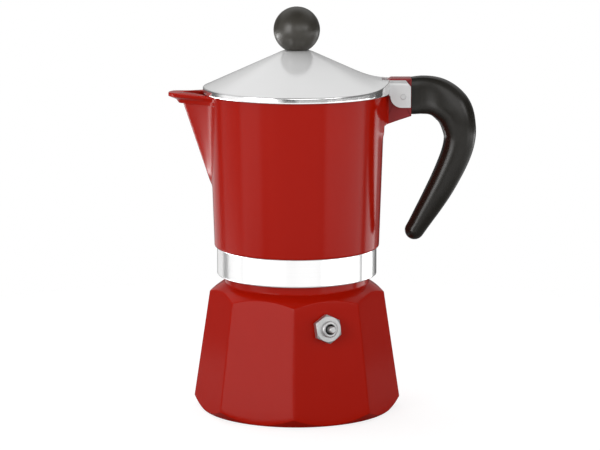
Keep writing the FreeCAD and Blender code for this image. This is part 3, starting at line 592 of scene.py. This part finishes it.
# Distance from the axis to the bracket's flared root: the rib's flank or a slanting line that runs into the
# wall, whichever is further out, with the corner between them rounded. It ends below at the rib's slanting
# underside and at a foot that rises with the fourth power of the angle, and above under the ears.
def bracketReach(angle, z):
    s = bracketSizes
    off = np.abs(angle)
    across = np.array([s["flareHalf"] - s["half"], s["flareX"] - s["flareBack"]])
    across = across / np.hypot(*across)
    run = across @ np.array([s["flareBack"], s["flareHalf"]])
    slant = run / np.maximum(across[0] * np.cos(off) + across[1] * np.sin(off), s["leastSlant"])
    joint = math.atan2(s["flareHalf"], s["flareBack"])
    slant = slant * (1 - s["flareFall"] * np.maximum(off - joint, 0))
    flank = (s["half"] - s["inside"]) / np.sin(np.maximum(off, s["leastAngle"]))
    rib = np.minimum(flank, s["end"] - s["ribShort"])
    outline = smoothMax(slant, rib, s["flareBlend"])
    root = wallRadius(s["rootBottom"]) + s["flareSwell"]
    slope = (s["end"] - root) / (s["endBottom"] - s["rootBottom"])
    drop = s["flareSwell"] / s["flareDrop"]
    below = np.where(z > s["rootBottom"], slope, drop) * (z - s["rootBottom"]) + root
    reach = smoothMin(outline, below / np.cos(np.minimum(off, s["flareSpan"])), s["underBlend"])
    lowest, rise = s["flareFoot"]
    foot = lowest + rise * (off / joint) ** 4
    reach = reach - s["flareFade"] * np.maximum(foot - z, 0)
    return np.where((z > s["flareTop"]) | (off > s["flareSpan"]), 0, reach)


# an angle brought between minus and plus half a turn
def wrapped(angle):
    return np.angle(np.exp(1j * angle))


# Outside of the jug: the tapering wall with its spout, or the bracket's root where that is further out
def jugOutside(angle, z):
    root = smoothMax(wallRadius(z), bracketReach(wrapped(angle), z), bracketSizes["wallBlend"])
    return np.maximum(spoutReach(np.abs(wrapped(angle - np.pi)), z, 0.0, True), root)


def jugInside(angle, z):
    return spoutReach(np.abs(wrapped(angle - np.pi)), z, jugSizes["wall"], False)


# The bracket's rib and the tang in the handle are slabs across Y; the hinge's boss is a drum round the pin
def bracketPatches():
    b = bracketSizes
    rim = jugSizes["rim"]
    rib = profile([
        (b["back"], b["rootBottom"] - b["inside"]),
        (b["end"], b["endBottom"] - b["inside"], b["cornerRound"]),
        (b["end"], b["top"], b["cornerRound"]),
        (b["front"], b["top"], b["frontRound"]),
        (b["front"], rim, b["notchRound"]),
        (b["back"], rim),
    ])[:, 0]
    x0, x1, z0, z1 = b["tang"]
    tang = profile([(x0, z0), (x1, z0, b["tangRound"]), (x1, z1, b["tangRound"]), (x0, z1)])[:, 0]
    drum = profile([
        (0, -b["bossHalf"]),
        (b["boss"], -b["bossHalf"], b["cornerRound"]),
        (b["boss"], b["bossHalf"], b["cornerRound"]),
        (0, b["bossHalf"]),
    ])
    turn = around(b["bossColumns"])
    x = b["pinX"] + drum[..., 0] * np.cos(turn)
    z = b["pinZ"] + drum[..., 0] * np.sin(turn)
    boss = np.stack([x, drum[..., 1] + 0 * turn, z], -1)
    # zone 3, the rib and the boss, takes the enamel with painted shade and a painted grey reflection
    return [(slab(rib, b["half"], b["edge"]), 3), (slab(tang, b["tangHalf"], b["cornerRound"]), 1), (boss, 3)]


# The jug's profile runs from the column's bore down to the collar, up the outside, over the rim and down the
# inside to the floor and the column's top; only its walls change with the angle.
def makeJug():
    s = jugSizes
    angle = around(s["columns"], 2, s["gather"])
    off = np.degrees(np.abs(wrapped(angle - np.pi)))
    firstBand = s["bands"][0][0]
    under = profile([
        (0, s["boreTop"]),
        (s["bore"], s["boreTop"]),
        (s["bore"], s["boreFoot"], s["boreRound"]),
        (s["seatRadius"], s["seat"]),
        (s["collarBore"], s["seat"]),
        (s["collarBore"], s["collarBottom"], s["collarEdge"]),
        (s["collarRadius"], s["collarBottom"], s["collarEdge"]),
        (s["collarRadius"], s["foot"], s["collarRoot"]),
        (s["footRadius"], s["foot"], s["footRound"]),
        (wallRadius(firstBand), firstBand),
    ])[:-1]
    heights = np.concatenate([np.arange(*band) for band in s["bands"]])
    rimTop = s["rim"] - (s["rim"] - spoutSizes["top"]) * (1 - smoothStep(off, *spoutSizes["mouth"]))
    rimTop = rimTop + spoutSizes["tipRise"] * (1 - smoothStep(off, *spoutSizes["tipSpan"]))
    rise = np.linspace(0, 1, s["edgeSteps"])[1:, None]
    lifted = heights[-1] + rise * (rimTop - s["edge"] - heights[-1])
    z = np.concatenate([heights[:, None] + 0 * angle, lifted])
    outside = np.stack([jugOutside(angle, z), z], -1)
    a = np.linspace(0, np.pi / 2, s["edgeSteps"])[1:, None]
    inward = s["edge"] * (1 - np.cos(a))
    edgeTop = rimTop - s["edge"] * (1 - np.sin(a))
    brim = np.stack([jugOutside(angle, rimTop) - inward, edgeTop], -1)
    lip = np.stack([jugInside(angle, rimTop) + inward, edgeTop], -1)[::-1]
    bottom = s["floor"] + s["floorRound"]
    share = np.linspace(0, 1, s["insideRows"])[:, None]
    z = (rimTop - s["edge"]) * (1 - share) + bottom * share
    inside = np.stack([jugInside(angle, z), z], -1)
    column = profile([
        (wallRadius(bottom) - s["wall"], bottom),
        (wallRadius(s["floor"]) - s["wall"], s["floor"], s["floorRound"] * s["floorShare"]),
        (s["columnFoot"], s["floor"], s["columnStepRounds"][0]),
        (s["columnFoot"], s["floor"] + s["columnStep"], s["columnStepRounds"][1]),
        (s["columnRadius"], s["columnTop"], s["columnRound"]),
        (0, s["columnTop"]),
    ])[1:]
    runs = (under, outside, brim, lip, inside, column)
    rows = np.concatenate([np.broadcast_to(run, (len(run), len(angle), 2)) for run in runs])
    collarStart = len(under) - np.argmax(under[::-1, 0, 1] <= s["collarBottom"]) - 1
    enamelStart = np.argmax(rows[:, 0, 0] > s["collarRadius"] + s["enamelProud"]) - 1
    enamelEnd = len(under) + len(outside) + len(brim) + len(lip) + 1
    index = np.arange(len(rows) - 1)
    zone = np.select([index < collarStart, index < enamelStart, index < enamelEnd], [1, 2, 0], 1)
    # the fourth finish is the rib's enamel, with painted shade and a painted grey reflection
    finishes = [red, cast, turned, ribShadeRed]
    shell = skin("jug_casting", [(spun(rows, angle), zone)], finishes)
    width, height = s["window"]
    left, right = -width / 2, width / 2
    sill = s["boreTop"] - height
    window = np.array([(left, sill), (right, sill), (right, s["boreTop"]), (left, s["boreTop"])])
    cutAway(shell, skin("window", [(slab(window, s["columnFoot"], hair, 2), 0)], [cast]))
    merge(shell, skin("bracket", bracketPatches(), finishes))
    belongs(shell, "jug", "red_enamel", "jug")


makeJug()

threadSizes = dict(
    pitch=3.0, root=0.75, crest=0.28, sunk=0.3, steps=72, fade=0.125,
    neck=dict(radius=31.8, height=0.95, start=59.0, turns=2.2, phase=0.0),
    collar=dict(radius=33.0, height=-0.5, start=60.75, turns=2.1, phase=30.0),
)


# A ridge on a helix: a trapezium section whose height fades in and out at its ends, over a part of a turn
def makeThread(name, body, size):
    s = threadSizes
    turns = np.linspace(0, size["turns"], int(size["turns"] * s["steps"]))
    fade = smoothStep(np.minimum(turns, size["turns"] - turns), 0, s["fade"])[:, None]
    way = np.sign(size["height"])
    out = np.array([-s["sunk"] * way, 0, size["height"], size["height"], 0, -s["sunk"] * way])
    wide = np.array([-s["root"], -s["root"], -s["crest"], s["crest"], s["root"], s["root"]])
    out = np.where(out * way > 0, out * fade, out)
    height = size["start"] + s["pitch"] * turns[:, None] + wide
    rows = np.stack([size["radius"] + out, height + 0 * out], -1)
    ends = rows[[0, -1]].mean(1, keepdims=True) + 0 * rows[[0, -1]]
    rows = np.concatenate([ends[:1], rows, ends[1:]])
    turns = np.concatenate([turns[:1], turns, turns[-1:]])
    angle = 2 * np.pi * turns[:, None] + math.radians(size["phase"])
    piece = skin(name, [(spun(rows, angle), 0)], [cast])
    belongs(piece, body, "sheet_aluminium")


makeThread("neck_thread", "boiler", threadSizes["neck"])
makeThread("collar_thread", "jug", threadSizes["collar"])

springSizes = dict(
    z=41.9, around=-69.0, aside=-0.8, foot=-1.6, head=2.6, radius=1.88, wire=0.2, turns=4, travel=1.5,
    steps=36, columns=10,
)


# The relief valve's spring: a wire's circle carried along a helix round the valve's axis, which stands square
# to its facet.
def makeSpring():
    s, b = springSizes, boilerSizes
    flat = math.cos(math.pi / b["sides"])
    lean = (b["cornerFoot"] - b["cornerShoulder"]) / b["shoulder"]
    turn = math.radians(s["around"])
    level = np.array([math.cos(turn), math.sin(turn), 0])
    across = np.array([-math.sin(turn), math.cos(turn), 0])
    out = unit(level + np.array([0, 0, lean * flat]))
    basis = np.stack([across, np.cross(out, across), out])
    base = (b["cornerFoot"] - lean * s["z"]) * flat * level + s["aside"] * across + np.array([0, 0, s["z"]])
    t = np.linspace(0, s["turns"], s["turns"] * s["steps"] + 1)[:, None]
    a = 2 * np.pi * t
    pitch = (s["head"] - s["foot"] - 2 * s["wire"]) / s["turns"]
    radial = np.concatenate([np.cos(a), np.sin(a), 0 * a], -1)
    climb = pitch / (2 * np.pi) + 0 * a
    ahead = unit(np.concatenate([-s["radius"] * np.sin(a), s["radius"] * np.cos(a), climb], -1))
    line = s["radius"] * radial + np.concatenate([0 * a, 0 * a, s["foot"] + s["wire"] + pitch * t], -1)
    beside = np.cross(ahead, radial)
    c = around(s["columns"])[None, :, None]
    tube = line[:, None] + s["wire"] * (np.cos(c) * radial[:, None] + np.sin(c) * beside[:, None])
    ends = line[[0, -1], None] + 0 * tube[[0, -1]]
    points = base + np.concatenate([ends[:1], tube, ends[1:]]) @ basis
    piece = skin("relief_spring", [(points, 0)], [plated])
    belongs(piece, "boiler", "plated_steel", "valve_spring")
    ((base + s["head"] * out) * mm).tolist()
    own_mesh(piece)


makeSpring()

lidSizes = dict(
    radius=40.9, bottom=139.8, shoulder=142.2, top=158.4, topRadius=5.3, topRound=2.4, sheet=1.2, edge=0.5,
    tabTop=145.5, tabHalf=6.8, rampHalf=23.6, rampRound=3.6, tabBlend=5.0,
    slotEnd=37.0, slotHalf=4.5, slotOver=5.0, topSpans=(1.4, 1.6),
    columns=400, gather=0.6, topRows=9, coneRows=40, edgeSteps=6, rimRows=5, hemSteps=9,
)
earSizes = dict(
    start=40.1, end=49.5, bend=1.6, left=40.6, stepBottom=139.0, bottom=133.8, round=5.0, chamfer=(2.1, 2.6),
    columns=44, rows=32,
)


# Height of the lid's outside: a cone with a flat top, or the ramp up to the hinge's tab where it is higher
def lidHeight(x, y):
    s = lidSizes
    slope = (s["top"] - s["shoulder"]) / (s["radius"] - s["topRadius"])
    cone = s["top"] - slope * smoothMax(np.hypot(x, y) - s["topRadius"], 0, s["topRound"])
    fall = (s["tabTop"] - s["shoulder"]) / (s["rampHalf"] - s["tabHalf"])
    ramp = s["tabTop"] - fall * smoothMax(np.abs(y) - s["tabHalf"], 0, s["rampRound"])
    return np.where(x > 0, smoothMax(cone, ramp, s["tabBlend"]), cone)


# One ear and its strip of the tab: a sheet folded down round the bend, cut to the ear's side view.
# Columns run along X; each goes down the outside from the upper cut to the lower one and up the inside.
def earPatch(mirror):
    s, e = lidSizes, earSizes
    x = np.linspace(e["start"], e["end"], e["columns"])
    cut, drop = e["chamfer"]
    upper = s["tabTop"] - np.clip((x - e["end"] + cut) / cut, 0, 1) * drop
    short = np.minimum(x - e["left"] - e["round"], 0)
    arc = e["bottom"] + e["round"] - np.sqrt(np.maximum(e["round"] ** 2 - short ** 2, 0))
    lower = np.where(x < e["left"], e["stepBottom"], arc)
    bendTop = s["tabTop"] - e["bend"]
    flat = s["tabHalf"] - e["bend"] - s["slotHalf"]
    quarter = e["bend"] * np.pi / 2
    inBend = e["bend"] * np.arccos(np.clip((upper - bendTop) / e["bend"], 0, 1))
    first = np.where(upper >= s["tabTop"], 0, flat + inBend + np.maximum(bendTop - upper, 0))
    last = flat + quarter + bendTop - lower
    share = np.linspace(0, 1, e["rows"])[:, None]
    run = first + share * (last - first)

    def onSheet(depth):
        bent = np.clip((run - flat) / e["bend"], 0, np.pi / 2)
        y = s["slotHalf"] + np.minimum(run, flat) + (e["bend"] - depth) * np.sin(bent)
        z = bendTop + (e["bend"] - depth) * np.cos(bent) - np.maximum(run - flat - quarter, 0)
        return np.stack([x + 0 * y, mirror * y, z], -1)

    outer = onSheet(-hair)
    inner = onSheet(s["sheet"])
    loop = np.concatenate([outer, inner[::-1]]).transpose(1, 0, 2)
    mid = (outer + inner) / 2
    ends = np.concatenate([mid, mid[::-1]]).transpose(1, 0, 2)
    return np.concatenate([ends[:1], loop, ends[-1:]])


# The cap: the height over a polar grid, a rounded edge, the upright rim and the same inside, one sheet lower
def makeLid():
    s = lidSizes
    angle = around(s["columns"], 1, s["gather"])
    slope = (s["top"] - s["shoulder"]) / (s["radius"] - s["topRadius"])
    drop = s["sheet"] * math.hypot(1, slope)
    topEnd, coneStart = np.multiply(s["topSpans"], s["topRadius"])
    nearTop = np.linspace(0, topEnd, s["topRows"])
    onCone = np.linspace(coneStart, s["radius"] - s["edge"], s["coneRows"])
    r = np.concatenate([nearTop, onCone])[:, None] + 0 * angle
    top = np.stack([r, lidHeight(r * np.cos(angle), r * np.sin(angle))], -1)
    brow = top[-1, :, 1]
    a = np.linspace(0, np.pi / 2, s["edgeSteps"])[1:, None]
    bendRadius = s["radius"] - s["edge"] * (1 - np.sin(a))
    edge = np.stack([bendRadius + 0 * angle, brow - s["edge"] * (1 - np.cos(a))], -1)
    foot = s["edge"] / 2
    down = np.linspace(0, 1, s["rimRows"])[1:, None]
    rimHeight = brow - s["edge"] + down * (s["bottom"] + foot - brow + s["edge"])
    rim = np.stack([s["radius"] + 0 * rimHeight, rimHeight], -1)
    a = np.linspace(0, np.pi, s["hemSteps"])[1:, None]
    hemRadius = s["radius"] - s["sheet"] / 2 * (1 - np.cos(a))
    hem = np.stack([hemRadius + 0 * angle, s["bottom"] + foot * (1 - np.sin(a)) + 0 * angle], -1)
    r = np.minimum(r[::-1], s["radius"] - s["sheet"])
    inside = np.stack([r, lidHeight(r * np.cos(angle), r * np.sin(angle)) - drop], -1)
    rows = np.concatenate([top, edge, rim, hem, inside])
    index = np.arange(len(rows) - 1)
    rimEnd = len(rows) - len(inside) - 1
    zone = np.where((index >= len(top) - 1) & (index < rimEnd), 1, 0)
    finishes = [satin, polished, dull]
    cap = skin("lid_pressing", [(spun(rows, angle), zone)], finishes)
    low = s["bottom"] - s["slotOver"]
    high = s["tabTop"] + s["slotOver"]
    far = s["radius"] + s["slotOver"]
    notch = np.array([(s["slotEnd"], low), (far, low), (far, high), (s["slotEnd"], high)])
    cutAway(cap, skin("notch", [(slab(notch, s["slotHalf"], hair, 2), 0)], [satin]))
    # the ears take zone 2, the rougher sheet painted darker as shade
    merge(cap, skin("ears", [(earPatch(1), 2), (earPatch(-1), 2)], finishes))
    belongs(cap, "lid", "lid_aluminium", "lid")


makeLid()

knobSizes = dict(
    radius=10.1, z=167.1, foot=158.4, seam=0.05, seamWidth=0.35, rows=64, columns=128, gather=0.5,
)


# A ball with a flat foot: half a circle turned round Z, with the fine line of its mould halves over the top
def makeKnob():
    s = knobSizes
    angle = around(s["columns"], 2, s["gather"])
    low = math.acos((s["z"] - s["foot"]) / s["radius"])
    polar = np.linspace(np.pi, low, s["rows"])[:, None] + 0 * angle
    aside = s["radius"] * np.sin(polar) * np.sin(angle)
    r = s["radius"] - s["seam"] + s["seam"] * np.exp(-(aside / s["seamWidth"]) ** 2)
    ball = np.stack([r * np.sin(polar), s["z"] - r * np.cos(polar)], -1)
    ball[-1, :, 1] = s["foot"]
    foot = np.stack([0 * angle, s["foot"] + 0 * angle], -1)[None]
    piece = skin("knob_ball", [(spun(np.concatenate([ball, foot]), angle), 0)], [knobBlack])
    belongs(piece, "lid", "black_plastic", "knob")


makeKnob()

handleSizes = dict(
    # x, z and heading down the middle line, half height, half width and squareness of the section there
    stations=[
        (49.9, 138.35, 0.0, 8.15, 4.2, 5.0),
        (54.6, 138.67, 0.0, 8.35, 4.4, 4.6),
        (61.45, 137.6, -22.0, 8.45, 6.2, 3.4),
        (67.3, 133.2, -48.0, 8.55, 7.4, 2.7),
        (70.35, 126.87, -76.0, 7.75, 7.7, 2.5),
        (71.2, 119.4, -95.5, 6.9, 7.4, 2.5),
        (67.41, 107.06, -114.0, 6.4, 6.9, 2.5),
        (61.67, 95.49, -119.0, 5.8, 6.1, 2.4),
        (56.8, 87.1, -121.5, 5.05, 5.1, 2.3),
        (51.8, 78.8, -122.5, 4.2, 4.2, 2.0),
    ],
    perStation=14, smooth=9, dome=14, columns=112, seam=0.12, seamWidth=0.5,
    screwX=57.6, screwHole=3.15, screwSeat=133.0, drillLength=20.0, drillColumns=40,
)


# Sections of |up|^n + |across|^n = 1 carried down a middle line through the stations (cubic runs that keep
# the stations' headings), with sizes eased between stations, a round end and a fine mould line all round
def makeHandle():
    s = handleSizes
    data = np.array(s["stations"])
    spots = data[:, :2]
    heading = np.radians(data[:, 2])
    way = np.stack([np.cos(heading), np.sin(heading)], -1)
    length = np.linalg.norm(np.diff(spots, axis=0), axis=1)[:, None, None]
    t = np.linspace(0, 1, s["perStation"], endpoint=False)[None, :, None]
    cubic = ((1 + 2 * t) * (1 - t) ** 2 * spots[:-1, None] + t * (1 - t) ** 2 * length * way[:-1, None]
             + t ** 2 * (3 - 2 * t) * spots[1:, None] + t ** 2 * (t - 1) * length * way[1:, None])
    line = np.concatenate([cubic.reshape(-1, 2), spots[-1:]])
    run = np.concatenate([[0], np.cumsum(np.linalg.norm(np.diff(line, axis=0), axis=1))])
    marks = run[::s["perStation"]]
    ahead = unit(np.gradient(line, run, axis=0))
    window = np.hanning(2 * s["smooth"] + 3)[1:-1]
    window = window / window.sum()
    eased = [np.pad(np.interp(run, marks, column), s["smooth"], mode="edge") for column in data[:, 3:].T]
    sizes = np.stack([np.convolve(column, window, "valid") for column in eased], -1)
    tip = np.linspace(0, np.pi / 2, s["dome"])[1:]
    dome = sizes[-1:] * np.stack([np.cos(tip), np.cos(tip), 1 + 0 * tip], -1)
    line = np.concatenate([line[:1], line, line[-1] + ahead[-1] * sizes[-1, :1] * np.sin(tip)[:, None]])
    sizes = np.concatenate([sizes[:1] * [0, 0, 1], sizes, dome])
    ahead = np.concatenate([ahead[:1], ahead, np.repeat(ahead[-1:], len(tip), 0)])
    angle = around(s["columns"])
    power = 2 / sizes[:, 2:]
    up = sizes[:, :1] * np.sign(np.cos(angle)) * np.abs(np.cos(angle)) ** power
    across = sizes[:, 1:2] * np.sign(np.sin(angle)) * np.abs(np.sin(angle)) ** power
    offSeam = 1 - np.exp(-(across / s["seamWidth"]) ** 2)
    up = up - np.sign(up) * np.minimum(s["seam"], np.abs(up)) * offSeam
    points = np.stack([line[:, :1] - ahead[:, 1:] * up, across, line[:, 1:] + ahead[:, :1] * up], -1)
    grip = skin("handle_grip", [(points, 0)], [black])
    mouth = s["screwSeat"] - s["drillLength"]
    bore, seat = s["screwHole"], s["screwSeat"]
    hole = profile([(0, mouth), (bore, mouth), (bore, seat), (0, seat)])
    drill = spun(hole, around(s["drillColumns"]))
    drill[..., 0] += s["screwX"]
    cutAway(grip, skin("drill", [(drill, 0)], [black]))
    belongs(grip, "jug", "black_plastic", "handle")


makeHandle()

studio = dict(
    floorRadius=0.30, floorDrop=0.0002, floorFade=(0.15, 0.294), floorGlow=0.79, floorColour=0.32,
    floorRough=0.9, floorRows=30, floorColumns=96,
    # light for matt surfaces from below, from the upper front and the upper back, and where they change over
    ambient=(0.62, 0.28, 0.95), ambientRise=(-0.35, 0.45), ambientBack=(-0.2, 0.6),
    # what gloss sees, storey by storey upwards: the rise of its direction over which the storey comes in, a
    # base brightness, then panels from and to in degrees round from the camera's side, softness, brightness
    storeys=[
        (None, 1.0, []),
        ((-0.415, -0.355), 0.20, [
            (-134, -80, 8, 7.0), (-134, -92, 6, 3.5), (-40, 40, 10, 0.8), (50, 140, 15, 0.8)]),
        ((-0.31, -0.225), 0.33, [
            (-46, 36, 6, 1.1), (-80, -48, 5, 2.5), (38, 101, 4, 2.9), (111, 139, 3, 2.8),
            (153, 205, 5, -0.28), (-162, -133, 4, 0.55), (-131, -119, 3, -0.2), (-117, -84, 4, 0.6)]),
        ((-0.165, -0.145), 0.10, [
            (-108, -22, 12, 0.95), (-64, -27, 6, 3.0), (-22, 40, 12, 0.28), (40, 100, 10, 0.10),
            (-17, 0, 2, -0.35)]),
        ((-0.02, 0.04), 0.10, [
            (-105, -36, 10, 0.6), (-62, -42, 5, 3.6), (-30, -10, 6, 0.5), (-10, 30, 6, 2.2),
            (36, 60, 10, 1.2), (-215, -150, 12, 0.25), (145, 215, 12, 0.22)]),
        ((0.35, 0.6), 0.40, [(-200, -100, 20, 0.35), (110, 200, 20, 0.4)]),
        ((0.88, 0.96), 0.15, []),
    ],
)


# White to the camera, a room of panels for gloss, and a soft light for matt surfaces
def makeWorld():
    world = bpy.data.worlds.new("studio")
    bpy.context.scene.world = world
    t = Tree(world)
    path = t.node("LightPath")
    seen = path["Is Camera Ray"] + path["Is Transmission Ray"]
    gloss = path["Is Glossy Ray"]
    way = t.node("SeparateXYZ", {}, {0: t.node("TexCoord")})
    turn = way["X"].math("ARCTAN2", way["Y"] * -1) * (180 / math.pi)
    room = 0.0
    for rise, light, panels in studio["storeys"]:
        for start, end, soft, bright in panels:
            panel = turn.ramp(start - soft, start + soft) - turn.ramp(end - soft, end + soft)
            light = light + bright * panel
        if rise:
            room = room + (light - room) * way["Z"].ramp(*rise)
        else:
            room = light
    low, front, back = studio["ambient"]
    high = front + (back - front) * way["Y"].ramp(*studio["ambientBack"])
    matt = low + (high - low) * way["Z"].ramp(*studio["ambientRise"])
    light = seen + gloss * room + (1 - (seen + gloss)) * matt
    background = t.tree.nodes["Background"]
    background.inputs["Color"].default_value = grey(1.0)
    t.feed(background.inputs["Strength"], light)


# A pale disc under the pot that keeps its shadow and fades into the white round it
def makeFloor():
    radius = np.linspace(0, studio["floorRadius"] / mm, studio["floorRows"])[:, None]
    rows = np.stack([radius, 0 * radius - studio["floorDrop"] / mm], -1)
    floor = skin("floor", [(spun(rows, around(studio["floorColumns"])), 0)], [])
    f = Finish("floor_white", Base_Color=grey(studio["floorColour"]), Roughness=studio["floorRough"],
               Specular_IOR_Level=0.0, Emission_Strength=1.0)
    f.set("Alpha", 1 - f.radius().ramp(*studio["floorFade"]))
    seen = f.node("LightPath")["Is Camera Ray"]
    f.set("Emission Color", f.mix(seen, grey(0.0), grey(studio["floorGlow"])))
    floor.data.materials.append(f.owner)


# Softboxes: degrees round from the camera's side, then metres; brightness is what a mirror would show
softboxes = [
    dict(name="left_box", turn=-36, away=1.2, height=0.42, size=(0.3, 0.62), bright=6.5, gloss=True),
    dict(name="right_box", turn=44, away=1.3, height=0.48, size=(0.5, 0.4), bright=2.6, gloss=True),
    dict(name="front_box", turn=-4, away=1.6, height=0.40, size=(0.8, 0.42), bright=2.0, gloss=False),
    dict(name="side_box", turn=-80, away=1.3, height=0.25, size=(0.7, 0.5), bright=0.9, gloss=False),
    dict(name="fill_box", turn=76, away=1.3, height=0.3, size=(0.6, 0.6), bright=2.0, gloss=False),
    dict(name="top_box", turn=-115, away=0.9, height=1.2, size=(1.8, 1.8), bright=0.8, gloss=False),
]
aimHeight = 0.09


def makeLamps():
    for box in softboxes:
        lamp = bpy.data.lights.new(box["name"], "AREA")
        lamp.shape = "RECTANGLE"
        lamp.size, lamp.size_y = box["size"]
        lamp.energy = box["bright"] * math.pi * lamp.size * lamp.size_y
        holder = bpy.data.objects.new(box["name"], lamp)
        turn = math.radians(box["turn"])
        holder.location = (math.sin(turn) * box["away"], -math.cos(turn) * box["away"], box["height"])
        aim = Vector((0, 0, aimHeight)) - holder.location
        holder.rotation_euler = aim.to_track_quat("-Z", "Y").to_euler()
        holder.visible_camera = False
        holder.visible_glossy = box["gloss"]
        bpy.context.scene.collection.objects.link(holder)


# The photograph's view: metres and degrees; focal is in pixels of a picture 600 wide
view = dict(
    away=1.144, height=0.28858, aside=0.00141, tilt=10.29, focal=2642.5, width=600, sensor=36.0, near=0.01,
)


def makeCamera():
    lens = bpy.data.cameras.new("camera")
    lens.sensor_width = view["sensor"]
    lens.lens = view["focal"] * view["sensor"] / view["width"]
    lens.clip_start = view["near"]
    camera = bpy.data.objects.new("camera", lens)
    camera.location = (view["aside"], -view["away"], view["height"])
    camera.rotation_euler = (math.radians(90 - view["tilt"]), 0, 0)
    bpy.context.scene.collection.objects.link(camera)
    bpy.context.scene.camera = camera


makeWorld()
makeFloor()
makeLamps()
makeCamera()
bpy.context.scene.view_settings.view_transform = "Standard"
print("stage ready")
